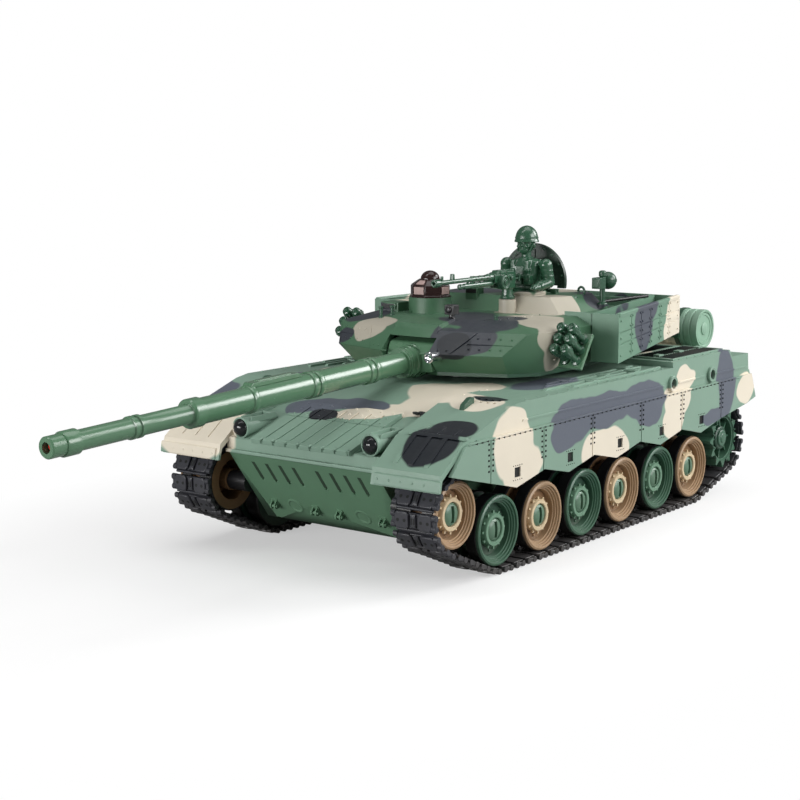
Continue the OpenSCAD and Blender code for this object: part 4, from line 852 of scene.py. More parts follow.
def make_sprocket(name, side):
    """A toothed drum with a deep dish drawn dark as painted shade, ribs, bolts and a cap; shaft and gear are cut from
    the solid.
    """
    s, z, r = SPROCKET
    w = WHEEL_OUT - WHEEL_IN
    inner = Shape()
    inner.box(*sorted((side * (WHEEL_IN + 0.02), side * 90)), s - 30, s + 30, z - 30, z + 30)
    obj = dressed(name, steel, name, 0, inner)
    obj.data.materials.append(gear_plastic)
    for face in obj.data.polygons:
        c = face.center / MM
        face.material_index = 0 if hypot(c.y + MID_STATION - s, c.z - z) < 3.5 else 1
    tooth = ((-0.5, r - 3.2), (-0.3, r - 2.9), (-0.17, r - 1.6), (-0.06, r), (0.06, r), (0.17, r - 1.6),
            (0.3, r - 2.9))
    turned = [(2 * pi * (k + turn) / 12, far) for k in range(12) for turn, far in tooth]
    teeth = [(cos(a), sin(a), far) for a, far in turned]

    def row(x, base, keep=0):
        """The drum's outline at a depth, at a plain radius or following the teeth."""
        radii = [(c, d, base + keep * far) for c, d, far in teeth]
        return [(side * (WHEEL_IN + x), s + q * c, z + q * d) for c, d, q in radii]

    drum = Shape()
    drum.skin([row(0, 4.0), row(0, -0.3, 1), row(0.4, 0, 1), row(w - 0.9, 0, 1), row(w - 0.3, -0.3, 1),
               row(w - 0.2, 11.9), row(w - 1.0, 11.5), row(w - 1.2, 10.9), row(w - 6.2, 10.6)])
    make_piece(name + "_drum", drum, green_wheel, name, edge=0)
    # Dark disc inside the drum: painted shade between the ribs.
    floor = Shape()
    floor.spin([(0, -0.4), (10.7, -0.4), (10.7, 0.2), (6.4, 0.4), (6.2, 4.2), (5.6, 4.7), (0, 4.7)],
            (side * (WHEEL_OUT - 6.4), s, z), (side, 0, 0), 40)
    make_piece(name + "_dish", floor, shaded_dish_green, name, edge=0)
    cap = Shape()
    profile = [(0, 0), (4.4, 0), (4.4, 0.4), (4.0, 0.8), (2.6, 0.9), (2.2, 1.3), (1.2, 1.5), (0, 1.5)]
    cap.spin(profile, (side * (WHEEL_OUT - 1.65), s, z), (side, 0, 0), 40)
    make_piece(name + "_cap", cap, green_wheel, name, edge=0)
    rib = local(lambda q: q.skin([[(-2.4, -0.6, -0.3), (2.4, -0.6, -0.3), (2.4, 0.6, -0.3), (-2.4, 0.6, -0.3)],
                                  [(-2.4, -0.4, 4.0), (2.2, -0.4, 3.4), (2.2, 0.4, 3.4), (-2.4, 0.4, 4.0)]]))
    spots = [((side * (WHEEL_OUT - 6.4), s + 8.4 * cos(a), z + 8.4 * sin(a)), (side, 0, 0), (0, cos(a), sin(a)))
             for a in turns(8)]
    copies(name + "_ribs", rib, spots, green_wheel, name)
    bolt = local(lambda q: q.spin([(0.95, -0.2), (0.95, 0.7), (0.7, 1.0), (0, 1.0)], (0, 0, 0), UP, 6))
    spots = [((side * (WHEEL_OUT - 0.2), s + 12.3 * cos(a), z + 12.3 * sin(a)), (side, 0, 0), UP)
             for a in turns(12, 15)]
    copies(name + "_bolts", bolt, spots, green_wheel, name, 0.6)


for side, label in SIDES:
    make_sprocket("sprocket_" + label, side)

# Hull


def make_skirts():
    seams = (34.4, 75.0, 116.0, 161.0, 201.5, 244.0)
    holes = (54.5, 97.0, 141.0, 181.0, 222.5)
    for side, label in SIDES:
        cut = Shape()
        face = side * HULL_HALF
        inner = lambda d: sorted((face + side * 0.5, face - side * d))
        for s in seams:
            cut.box(*inner(0.7), s - 0.28, s + 0.28, 36, SKIRT_LINE)
        cut.box(*inner(0.6), 10, 264, 60.9, 61.3)
        for s in holes:
            cut.box(*inner(3.0), s - 2.2, s + 2.2, 42.4, 46.8)
        dressed("side_skirt_" + label, hull_paint, "hull", 0.25, cut)
        # Dark plates behind the square holes: painted shade in the holes.
        shade = Shape()
        for s in holes:
            shade.box(*sorted((side * (HULL_HALF - 1.4), side * (HULL_HALF - 0.7))), s - 2.9, s + 2.9, 41.9, 47.3)
        make_piece("skirt_%s_recesses" % label, shade, shade_dark, "hull", edge=0)
        ways = ((side, 0, 0), ALONG)
        seam_rows = [((face, s + d, 48.2 + 2.3 * k), *ways) for s in seams for k in range(6) for d in (-1.5, 1.5)]
        top_row = [((face - side * 0.4, s + 0.5, SKIRT_LINE), *ways) for s in range(24, 260, 4)]
        dots = [((face, s - 3.2 + 1.6 * k, z), *ways) for s in holes for k in range(5) for z in (41.4, 47.6)]
        # The rivet heads and small dots take the dark finish as painted shade round them.
        kinds = (("rivets", (0.5, 0.4), seam_rows), ("top_rivets", (0.62, 0.5), top_row), ("dots", (0.26, 0.2), dots))
        for kind, size, spots in kinds:
            copies("skirt_%s_%s" % (label, kind), rivet_part(*size), spots, shade_dark, "hull")


make_skirts()


def make_upper_hull():
    cut = Shape()
    for x in (58, 61.5, 65, 68.5):
        for s in (53.5, 57.5):
            cut.box(x - 0.9, x + 0.9, s - 0.9, s + 0.9, 71, 76)
    cut.box(28.4, 43.9, 4.0, 19.0, 53.9, 66.0)
    cut.mirrored()
    for x, s in ((38.4, 63.5), (42.0, 65.0)):
        cut.rod((x, s, 70), (x, s, 78), 0.8, seg=16)
    dressed("upper_hull", hull_paint, "hull", 0.35, cut)
    pocket = Shape()
    pocket.box(27.9, 44.6, 7.3, 19.6, 51.6, 53.92)
    pocket.box(27.9, 44.6, 18.4, 20.4, 51.6, 57.0)
    make_piece("lamp_pockets", pocket.mirrored(), hull_paint, "hull", edge=0.2)

    # Lines of rivets along the fenders and decks
    spots = []
    for x in range(47, 77, 6):
        spots += [((e * x, -0.15, 46.8), (0, -0.97, 0.2), ACROSS) for e in (-1, 1)]
    for side in (1, -1):
        for k in range(22):
            s = 66 + 8.6 * k
            spots.append(((side * 76.4, s, DECK_Z if s < 193 else ENGINE_Z), UP, ACROSS))
        for k in range(4):
            spots.append(((side * 46.4, 62 + 6 * k, DECK_Z), UP, ACROSS))
    copies("deck_rivets", rivet_part(0.55, 0.45), spots, hull_paint, "hull")

    # Lip along each fender's front edge, ledge under the nose band, and strips on the decks beside the turret
    lip = Shape()
    lip.prism([(-0.6, 44.6), (-0.05, 48.9), (0.5, 49.3), (1.3, 49.2), (0.6, 44.3), (-0.3, 44.2)], 45.2, 79.2)
    lip.prism([(17.6, 63.2), (18.6, 63.9), (20.6, 64.3), (20.8, 63.2)], 49.0, 78.6)
    for x, a, b in ((60.2, 108, 186), (64.6, 100, 186), (69.0, 92, 178), (73.4, 108, 190)):
        lip.prism([(a, 73.8), (a + 0.8, 75.0), (b - 0.8, 75.0), (b, 73.8)], x - 0.9, x + 0.9)
    for x, s in ((62.4, 120), (66.8, 146), (71.2, 166), (62.4, 172), (71.2, 128)):
        lip.box(x - 3.2, x + 3.2, s - 2.0, s + 2.0, 73.8, 75.5)
    lip.mirrored()
    lip.box(-44.0, 44.0, 5.4, 7.6, 47.2, 48.7)
    make_piece("fender_and_deck_strips", lip, hull_paint, "hull", edge=0.3)
    # Ledge rib above each skirt, the side vents' rims, and dark discs in the vents as painted shade
    rail = Shape()
    for a, b in ((60.0, 186.0), (199.5, 227.5), (240.5, 276.0)):
        rail.prism([(a, 65.6), (a + 0.6, 66.6), (b - 0.6, 66.6), (b, 65.6)], SIDE_X - 0.4, SIDE_X + 0.5)
    make_piece("side_rails", rail.mirrored(), hull_paint, "hull", edge=0.15)
    rim, dark = Shape(), Shape()
    rim_profile = [(2.6, -0.5), (3.9, -0.5), (3.9, 1.35), (3.5, 1.7), (3.0, 1.6), (2.6, 1.1)]
    port_shade_profile = [(0, 0), (2.7, 0), (2.7, 0.35), (1.3, 0.55), (1.2, 0.95), (0, 1.0)]
    for s in PORTS:
        rim.spin(rim_profile, (SIDE_X, s, PORT_Z), ACROSS, 40, loop=True)
        dark.spin(port_shade_profile, (SIDE_X - 0.6, s, PORT_Z), ACROSS, 32)
    make_piece("port_rims", rim.mirrored(), hull_paint, "hull", edge=0)
    make_piece("port_centres", dark.mirrored(), shade_dark, "hull", edge=0)

    # Lugs beside the holes and a short tow chain lying on the slope
    lug = Shape()
    lug.prism([(43.5, 70.5), (44.5, 73.0), (49.0, 75.4), (51.5, 75.4), (51.5, 72.5)], 57.0, 59.6)
    make_piece("deck_lugs", lug.mirrored(), fitting_plastic, "hull", edge=0.3)
    links = []
    for k in range(9):
        t = k / 8
        x, s = 33.5 + 11.0 * t, 44.5 - 4.5 * t + 2.0 * sin(6.0 * t)
        place = (x, s, 53.5 + (s - 7) * 0.3154 + 1.5)
        links.append((place, (0, -0.3, 0.95), (0.8, 0.4 if k % 2 else -0.4, 0.1)))
    ring = local(lambda q: q.hoop((0, 0, 0), (0, 0.45, 1), 1.25, 0.5, 12, 6))
    copies("tow_chain", ring, links, black_plastic, "hull")


def make_front():
    # Slatted armour with a second row of short grooves and a front lip in eight blocks
    slope = atan2(DECK_Z - 53.5, 65.0)
    glacis = Matrix.Translation((0, 7, 53.5)) @ Matrix.Rotation(slope, 4, "X")
    cut = Shape(glacis)
    for k in range(1, 8):
        x = -28 + 7 * k
        cut.box(x - 0.35, x + 0.35, 24.2, 31.5, 1.3, 4)
    cut.box(-30, 30, 22.6, 23.2, 1.5, 4)
    dressed("glacis_armour", hull_paint, "hull", 0.3, cut)
    lip = Shape(glacis)
    for k in range(8):
        x = -28 + 7 * k
        ring = lambda z, t: [(x + 0.7, -2.5, z), (x + 6.3, -2.5, z), (x + 6.3, t, z), (x + 0.7, t, z)]
        lip.skin([ring(0.3, 0.4), ring(2.7, 0.0)])
    make_piece("armour_lip", lip, hull_paint, "hull", edge=0.35)
    spots = []
    for k in range(8):
        x = -28 + 7 * k + 3.5
        for y in (25.4, 30.4, 35.6):
            spots.append((glacis @ Vector((x, y, 2.2)), (0, -0.3, 0.95), ACROSS))
    copies("armour_rivets", rivet_part(0.6, 0.5), spots, hull_paint, "hull")

    # Nose plate: forked tow hooks, pressed rings and two rows of slots, drawn as dark green inlays of painted shade
    lean = Vector((0, 25.0, -33.4)).normalized()
    out = Vector((0, -33.4, -25.0)).normalized()
    nose = Matrix(((1, 0, 0, 0), (0, lean.y, out.y, 6), (0, lean.z, out.z, 47), (0, 0, 0, 1)))
    cut, hooks = Shape(nose), Shape(nose)
    ear = ((29.0, -0.2), (33.2, -0.2), (32.6, 2.6), (31.2, 3.4), (29.8, 2.6))
    for x in (-31.3, -7, 7, 31.3):
        cut.box(x - 4.0, x + 4.0, 25.0, 37.0, 0.03, 9.0)
        hooks.box(x - 1.9, x + 1.9, 28.4, 33.8, -0.3, 0.4)
        for e in (-1.2, 1.2):
            hooks.skin([[(x + e + o, y, z) for y, z in ear] for o in (-0.45, 0.45)])
        hooks.rod((x - 2.2, 31.1, 2.0), (x + 2.2, 31.1, 2.0), 0.7, seg=12)
    dressed("lower_hull", tub_plastic, "hull", 0.3, cut)
    make_piece("tow_hooks", hooks, tub_plastic, "hull", edge=0.2)
    rims = Shape(nose)
    profile = [(2.9, -0.2), (4.4, -0.2), (4.3, 0.1), (3.7, 0.35), (3.1, 0.2), (2.9, 0.0)]
    for x in (-19.5, 19.5):
        rims.spin(profile, (x, 31.0, 0), UP, 40, loop=True)
    make_piece("nose_rings", rims, tub_plastic, "hull", edge=0)
    slots = Shape(nose)
    for x in [e * (6.7 + 7.85 * k) for k in range(4) for e in (-1, 1)]:
        slots.box(x - 0.95, x + 0.95, 4.2, 14.6, -0.6, 0.06)
    make_piece("nose_slots", slots, shaded_slot_green, "hull", edge=0)

    # Headlights: dark ball lenses in tapered shells, with a guard of two ears and a cross bar
    lens, shell, guard = Shape(), Shape(), Shape()
    lens_profile = [(3.9, 1.0), (3.9, -0.9), (3.6, -2.1), (2.8, -3.2), (1.6, -3.9), (0, -4.2)]
    shell_profile = [(4.0, 0.8), (4.0, -1.5), (4.2, -1.8), (4.6, -1.8), (4.8, -1.5), (4.7, -0.2), (4.2, 0.6),
                     (3.9, 6.0), (3.0, 12.0), (2.6, 19.0), (0, 19.0)]
    ear = [(10.5, 60.8), (12.0, 62.9), (27.0, 63.4), (30.0, 60.6), (24.0, 60.4)]
    for x in (-36.9, 36.9):
        place = (x, 9.4, 58.3)
        lens.spin(lens_profile, place, ALONG, 40)
        shell.spin(shell_profile, place, ALONG, 48)
        for e in (-2.9, 2.9):
            guard.prism(ear, x + e - 0.45, x + e + 0.45)
        guard.box(x - 3.2, x + 3.2, 25.4, 27.4, 60.4, 63.3)
        guard.prism([(13.0, 54.0), (19.0, 54.0), (19.0, 57.0), (15.0, 57.0)], x - 1.6, x + 1.6)
    make_piece("headlight_glass", lens, clear_lens, "hull", edge=0, node="headlight_lenses")
    make_piece("headlight_shells", shell, hull_paint, "hull", edge=0)
    make_piece("headlight_guards", guard, hull_paint, "hull", edge=0.2)


def make_rear_deck():
    # Louvred grilles
    dressed("engine_grille", grille_plastic, "hull", 0.12)
    slats = [((side * 29.0, 201.5 + 2.85 * k, ENGINE_Z - 0.3), (0, 0.45, 0.9), ACROSS)
             for side in (1, -1) for k in range(17)]
    louvre = local(lambda q: q.box(-19.5, 19.5, -1.15, 1.15, -0.15, 0.25))
    copies("grille_louvres", louvre, slats, grille_plastic, "hull")
    frames = Shape()
    bars = [(6.2, 51.8, s, s + 2.0) for s in (198.2, 249.5)] + [(x, x + 2.0, 200.0, 249.7) for x in (6.2, 28.0, 49.8)]
    for bar in bars:
        frames.box(*bar, ENGINE_Z - 0.2, ENGINE_Z + 0.7)
    make_piece("grille_frames", frames.mirrored(), hull_paint, "hull", edge=0.25)

    # Dark beds under the side louvres: painted shade in the grilles.
    bed = Shape()
    bed.box(54.0, 75.6, 199.0, 251.0, ENGINE_Z - 0.4, ENGINE_Z + 0.12)
    make_piece("side_grille_beds", bed.mirrored(), shade_dark, "hull", edge=0)
    slats = [((side * x, 200.8 + 2.5 * k, ENGINE_Z + 0.5), (0, 0.5, 0.87), ACROSS)
             for side in (1, -1) for x in (59.4, 70.2) for k in range(20)]
    ring = lambda x, s, z: [(-x, -s, z), (x, -s, z), (x, s, z), (-x, s, z)]
    louvre = local(lambda q: q.skin([ring(4.9, 0.95, -0.3), ring(4.7, 0.8, 0.35)]))
    copies("side_grille_louvres", louvre, slats, grille_plastic, "hull")
    edge = Shape()
    bars = [(53.4, 76.2, s0, s1) for s0, s1 in ((198.0, 199.6), (250.4, 252.0))]
    bars += [(x0, x1, 199, 251) for x0, x1 in ((53.4, 54.8), (64.0, 65.6), (74.8, 76.2))]
    for bar in bars:
        edge.box(*bar, ENGINE_Z - 0.3, ENGINE_Z + 1.0)
    for s in (204, 225, 246):
        edge.box(63.0, 66.6, s - 2.4, s + 2.4, ENGINE_Z + 0.3, ENGINE_Z + 1.9)
    make_piece("side_grille_frames", edge.mirrored(), hull_paint, "hull", edge=0.25)

    # Ribbed fuel drums with straps, bungs and end bosses
    dressed("fuel_drums", lit_drum_paint, "hull", 0.2)
    straps, bosses = Shape(), Shape()
    band = [(10.2, -1.3), (10.75, -1.3), (10.75, 1.3), (10.2, 1.3)]
    boss = [(8.4, -0.3), (8.4, 0.35), (7.2, 0.35), (7.0, -0.05), (3.4, -0.05), (3.2, 0.5), (2.4, 0.9), (0, 0.9)]
    for side in (1, -1):
        for x in (18.0, 44.0):
            straps.spin(band, (side * x, *DRUM), ACROSS, 48, loop=True)
            straps.box(side * x - 2.0, side * x + 2.0, 259.5, 261.2, 80.5, 84.5)
        for x, way in ((8.8, -1), (55.2, 1)):
            bosses.spin(boss, (side * x, *DRUM), (side * way, 0, 0), 40)
    make_piece("drum_straps", straps, fitting_plastic, "hull", edge=0)
    make_piece("drum_bosses", bosses, lit_drum_paint, "hull", edge=0)

    # Tail: rimmed lamps, tow loops, louvres, a plate and a round cap
    lamps, rear = Shape(), Shape()
    lamp_rim = [(2.7, -0.4), (3.4, -0.4), (3.4, 1.6), (2.7, 1.6)]
    for side in (1, -1):
        lamps.spin([(0, 0), (2.6, 0), (2.6, 0.8), (2.0, 1.5), (0, 1.8)], (side * 36.0, 278.4, 56.0), ALONG, 32)
        rear.spin(lamp_rim, (side * 36.0, 278.0, 56.0), ALONG, 32, loop=True)
        rear.hoop((side * 20.0, 280.0, 52.0), ACROSS, 2.4, 0.8, 24, 10)
        rear.box(side * 20.0 - 2.6, side * 20.0 + 2.6, 277.7, 278.8, 48.6, 55.4)
        for k in range(5):
            louvre = [(277.8, 30.0), (279.2, 30.4), (279.2, 31.2), (277.8, 32.4)]
            rear.prism([(s, z + 3.2 * k) for s, z in louvre], *sorted((side * 12.0, side * 36.0)))
        for x0, x1 in ((10.4, 12.2), (35.8, 37.6)):
            rear.box(*sorted((side * x0, side * x1)), 277.6, 279.4, 28.4, 46.2)
    rear.box(-12, 12, 277.7, 279.0, 50, 60)
    rear.box(-40, 40, 277.6, 278.6, 46.4, 47.6)
    rear.spin([(0, 0), (4.0, 0), (4.0, 0.9), (3.4, 1.4), (2.4, 1.2), (0, 1.2)], (0, 278.0, 36.0), ALONG, 32)
    make_piece("tail_fittings", rear, hull_paint, "hull", edge=0.25)
    make_piece("tail_lamps", lamps, red_lens, "hull", edge=0)
    spots = [((x, 278.9, z), ALONG, ACROSS) for x in (-10.5, 10.5) for z in (51.5, 58.5)]
    spots += [((x, 277.9, 49.5), ALONG, ACROSS) for x in range(-40, 41, 8) if abs(x) > 25]
    copies("tail_bolts", rivet_part(0.8, 0.7), spots, hull_paint, "hull")


make_upper_hull()
make_front()
make_rear_deck()

# Turret


def make_turret():
    cut = Shape()
    # Panel lines across the roof and round the crew roof
    for x in (-24.0, 25.0):
        cut.box(x - 0.25, x + 0.25, 108, 144, ROOF_Z - 0.45, ROOF_Z + 1.0)
    cut.box(-46, -13.5, 143.2, 143.7, ROOF_Z - 0.45, ROOF_Z + 1.0)
    cut.box(18, 46, 143.2, 143.7, ROOF_Z - 0.45, ROOF_Z + 1.0)
    cut.box(-33, 33, 187.8, 188.3, PLATEAU_Z - 0.45, PLATEAU_Z + 1.0)
    dressed("turret_shell", shaded_turret_paint, "turret", 0.4, cut)
    dressed("turret_base", fitting_plastic, "turret", 0.25)

    # Raised strips on the two cheeks and bolts on the side facets
    strips = Shape()
    bolts = []
    low = [Vector((9.0, 78, KNIFE_Z)), Vector((47.8, 90, KNIFE_Z))]
    high = [Vector((9.6, 88.7, CHEEK_Z)), Vector((55, 101, CHEEK_Z))]
    normal = (low[1] - low[0]).cross(high[0] - low[0]).normalized()
    if normal.y > 0:
        normal = -normal

    def on_cheek(u, v, lift=0.0):
        return low[0].lerp(low[1], u).lerp(high[0].lerp(high[1], u), v) + normal * lift

    def strip(a, b, wide, lift):
        a, b = Vector(a), Vector(b)
        across = Vector((-(b - a).y, (b - a).x)).normalized() * wide
        ring = lambda h: [on_cheek(*p, h) for p in (a + across, b + across, b - across, a - across)]
        strips.skin([ring(-0.3), ring(lift)])

    strip((0.02, 0.035), (0.995, 0.035), 0.022, 0.3)
    strip((0.36, 0.06), (0.47, 0.97), 0.012, 0.3)
    strip((0.47, 0.5), (0.985, 0.5), 0.012, 0.25)
    strip((0.985, 0.05), (0.985, 0.95), 0.008, 0.3)
    make_piece("cheek_strips", strips.mirrored(), shaded_turret_paint, "turret", edge=0.1)
    for u, v in [(u, v) for v in (0.3, 0.75) for u in (0.53, 0.65, 0.77, 0.89)] + [(0.3, 0.2), (0.2, 0.2)]:
        p = on_cheek(u, v)
        bolts.append((p, normal, ACROSS))
        bolts.append(((-p.x, p.y, p.z), (-normal.x, normal.y, normal.z), ACROSS))
    for side in (1, -1):
        for s, z in ((118, 84.5), (128, 84.5), (118, 94.5), (145, 94.5)):
            bolts.append(((side * 58, s, z), (side, 0, 0), ALONG))
        for s in range(110, 146, 6):
            bolts.append(((side * (30 + 0.1 * (s - 110)), s + 4, ROOF_Z), UP, ACROSS))
    copies("turret_bolts", rivet_part(0.55, 0.5), bolts, shaded_turret_paint, "turret")

    close = Shape()
    close.prism([(150.0, 92.0), (150.0, 103.4), (151.4, 103.5), (151.4, 92.0)], 43.0, 58.6)
    make_piece("basket_front_walls", close.mirrored(), basket_paint, "turret", edge=0.2)

    # Lifting eyes, sight boxes, small posts and a cleaning rod
    fit = Shape()
    for x in (-36, 36):
        fit.hoop((x, 172.0, 106.4), ACROSS, 1.9, 0.55, 20, 8)
    for e in (1, -1):
        fit.hoop((e * 33.5, 181.0, PLATEAU_Z + 1.2), (e * 0.3, 1, 0), 2.3, 0.6, 24, 8)
    make_piece("lifting_eyes", fit, fitting_plastic, "turret", edge=0)
    sight = Shape()
    sight.box(-44, -33, 118, 128, ROOF_Z - 0.4, ROOF_Z + 4.6)
    sight.box(-43, -34, 117.0, 118.2, ROOF_Z + 1.0, ROOF_Z + 4.2)
    sight.box(-16.0, -8.6, 151.0, 157.0, ROOF_Z - 0.4, PLATEAU_Z + 3.0)
    make_piece("sight_boxes", sight, shaded_turret_paint, "turret", edge=0.5)
    glass = Shape()
    glass.box(-42.2, -34.8, 116.7, 117.2, ROOF_Z + 1.6, ROOF_Z + 3.7)
    glass.box(-15.3, -9.3, 150.7, 151.2, PLATEAU_Z + 0.4, PLATEAU_Z + 2.4)
    make_piece("sight_glass", glass, black_plastic, "turret", edge=0.15)
    posts = Shape()
    for x, s, deep, h in ((-33.0, 104.5, 2.2, 6.0), (-29.0, 108.0, 0.8, 5.0), (28.0, 114.0, 0.8, 3.0)):
        post = [(0, 0), (1.3, 0), (1.3, 0.8), (0.8, 1.1), (0.8, h - 1.2), (1.2, h - 0.8), (1.2, h - 0.2), (0, h)]
        posts.spin(post, (x, s, ROOF_Z - deep), UP, 20)
    make_piece("roof_posts", posts, fitting_plastic, "turret", edge=0)
    rod = Shape()
    rod.rod((38.0, 196.0, 104.4), (47.0, 224.0, 105.6), 0.9, seg=16)
    rod.rod((38.0, 196.0, 104.4), (37.4, 194.2, 104.3), 1.4, 1.0, seg=16)
    make_piece("cleaning_rod", rod, black_plastic, "turret", edge=0.1)

    # Rim of the crew opening
    rim = Shape()
    profile = [(8.2, 0.9), (9.8, 0.9), (10.3, 1.3), (10.3, 2.0), (9.7, 2.5), (8.7, 2.5), (8.2, 2.0)]
    rim.spin(profile, (*CREW, PLATEAU_Z - 0.4), UP, 56, loop=True)
    make_piece("crew_rim", rim, shaded_turret_paint, "turret", edge=0)


def make_baskets():
    """Side and rear baskets with a grid of grooves, bolts and a top rail."""
    front, long = 150, 90
    slope_x = lambda s: 73.0 - 16.0 * (s - front) / long
    low_z = lambda s: 80.4 + 5.6 * (s - front) / long
    top_z = lambda s: 103.4 + 1.6 * (s - front) / long
    part_z = lambda s, share: low_z(s) + share * (top_z(s) - low_z(s))
    groove = ((-0.45, -0.3), (2, -0.3), (2, 0.3), (-0.45, 0.3))
    cut = Shape()
    lines = (167.5, 181.5, 195.0, 209.0, 223.0)
    for s in lines:
        cut.skin([[(slope_x(s) + o, s + d, z) for o, d in groove] for z in (low_z(s) + 1.2, top_z(s) - 1.6)])
    for share in (0.38, 0.62):
        cut.skin([[(slope_x(s) + o, s, part_z(s, share) + h) for o, h in groove] for s in (151.5, 238.5)])
    cut.mirrored()
    for x in range(-36, 37, 12):
        cut.box(x - 0.3, x + 0.3, 239.55, 242, 87.5, 103.0)
    cut.box(-40, 40, 239.55, 242, 95.2, 95.8)
    dressed("stowage_baskets", basket_paint, "turret", 0.3, cut)
    ways = ((0.985, 0.175, 0), ALONG)
    spots = [((slope_x(s + o), s + o, part_z(s, share)), *ways)
             for s in lines for share in (0.14, 0.3, 0.5, 0.7, 0.9) for o in (-1.6, 1.6)]
    spots += [((slope_x(s), s, part_z(s, share)), *ways) for s in (153.0, 236.5) for share in (0.14, 0.5, 0.86)]
    spots += [((-x, s, z), (-a, b, c), w) for (x, s, z), (a, b, c), w in spots]
    spots += [((x, 240, z), ALONG, ACROSS) for x in range(-30, 31, 12) for z in (89.5, 101.5)]
    copies("basket_bolts", rivet_part(0.6, 0.55), spots, basket_paint, "turret")
    rail = Shape()
    rail_ring = ((-2.0, -0.5), (0.35, -1.4), (0.55, 0.2), (0.0, 0.7), (-1.7, 0.7))
    rail.skin([[(slope_x(s) + o, s, top_z(s) + h) for o, h in rail_ring] for s in (151, 238.5)])
    make_piece("basket_rails", rail.mirrored(), basket_paint, "turret", edge=0.2)
    # Rolled tarpaulins and boxes stowed inside
    roll = Shape()
    profile = [(0, 0), (3.0, 0.0), (3.9, 0.6), (4.0, 8), (3.6, 9), (3.6, 10), (4.1, 11), (4.1, 22), (3.6, 23),
               (3.6, 24), (4.0, 25), (4.0, 43.5), (3.2, 44.5), (0, 44.5)]
    for side in (1, -1):
        a, b = Vector((side * 63.0, 160.0, 92.5)), Vector((side * 54.0, 204.0, 95.0))
        roll.spin(profile, a, b - a, 28)
    make_piece("stowed_rolls", roll, fitting_plastic, "turret", edge=0)
    box = Shape()
    for side in (1, -1):
        box.place = Matrix.Translation((side * 51.5, 222.0, 87.5)) @ Matrix.Rotation(side * 0.175, 4, "Z")
        box.box(-4.2, 4.2, -8, 8, 0, 11.5)
        box.box(-4.6, 4.6, -8.4, 8.4, 9.2, 10.2)
    make_piece("stowed_boxes", box, fitting_plastic, "turret", edge=0.4)


def make_smoke_racks():
    """A tilted plate each side with six capped tubes on stepped bases."""
    rack = Matrix.Translation((58, 126, 88.5)) @ Matrix.Rotation(radians(56), 4, "X")
    plate = Shape(rack)
    plate.box(-0.4, 12.2, -9.2, 9.2, -1.8, 0.0)
    make_piece("smoke_rack_plates", plate.mirrored(), gun_plastic, "turret", edge=0.3,
            node="smoke_launchers")
    tubes, tabs = Shape(rack), Shape(rack)
    profile = [(0, -0.3), (2.5, -0.3), (2.5, 1.0), (1.6, 1.5), (1.5, 6.8), (2.2, 7.2), (2.4, 8.2), (2.4, 12.0),
            (2.1, 12.8), (1.6, 13.1), (1.4, 12.7), (0.8, 12.6), (0.7, 13.0), (0, 13.1)]
    for x, v in [(x, v) for x in (2.7, 8.5) for v in (-5.5, 0, 5.5)]:
        tubes.spin(profile, (x, v, 0), UP, 28)
        for a in turns(4, 45):
            u, w = x + 2.25 * cos(a), v + 2.25 * sin(a)
            tabs.box(u - 0.45, u + 0.45, w - 0.45, w + 0.45, 8.6, 11.0)
    make_piece("smoke_tubes", tubes.mirrored(), figure_plastic, "turret", edge=0)
    make_piece("smoke_tube_tabs", tabs.mirrored(), figure_plastic, "turret", edge=0.2)


def make_dome():
    x, s = DOME
    shell = Shape()
    turn = turns(8, 22.5)
    ring = lambda r, z: [(x + r * cos(a), s + r * sin(a), PLATEAU_Z + z) for a in turn]
    shell.skin([ring(10.4, -0.3), ring(10.4, 0.8), ring(9.9, 1.0), ring(9.9, 5.4), ring(9.5, 6.0), ring(5.6, 8.6),
            ring(4.8, 8.8)])
    make_piece("dome_base", shell, smoked, "turret", edge=0.3, node="receiver_dome")
    panes = Shape()
    for k in range(1, 8, 2):
        a0, a1 = turn[k], turn[(k + 1) % 8]

        def corner(r, z, share, lift):
            u = [r * (f(a0) * (1 - share) + f(a1) * share) for f in (cos, sin)]
            far = 1 + lift / hypot(*u)
            return (x + u[0] * far, s + u[1] * far, PLATEAU_Z + z + lift * (0.8 if z > 6.2 else 0))

        for spots in (((9.9, 1.6, 0.12), (9.9, 1.6, 0.88), (9.9, 5.2, 0.88), (9.9, 5.2, 0.12)),
                      ((9.0, 6.35, 0.16), (9.0, 6.35, 0.84), (6.4, 8.05, 0.8), (6.4, 8.05, 0.2))):
            panes.skin([[corner(r, z, u, lift) for r, z, u in spots] for lift in (-0.3, 0.3)])
    make_piece("dome_panes", panes, window_pane, "turret", edge=0.1)
    cap = Shape()
    round_top = [(4.7 * cos(a), 0.8 + 4.2 * sin(a)) for a in [radians(9 * k) for k in range(10)]]
    cap.spin([(5.0, 0.0), (5.0, 0.6)] + round_top + [(0, 5.0)], (x, s, PLATEAU_Z + 7.8), UP, 48)
    make_piece("dome_cap", cap, smoked, "turret", edge=0)


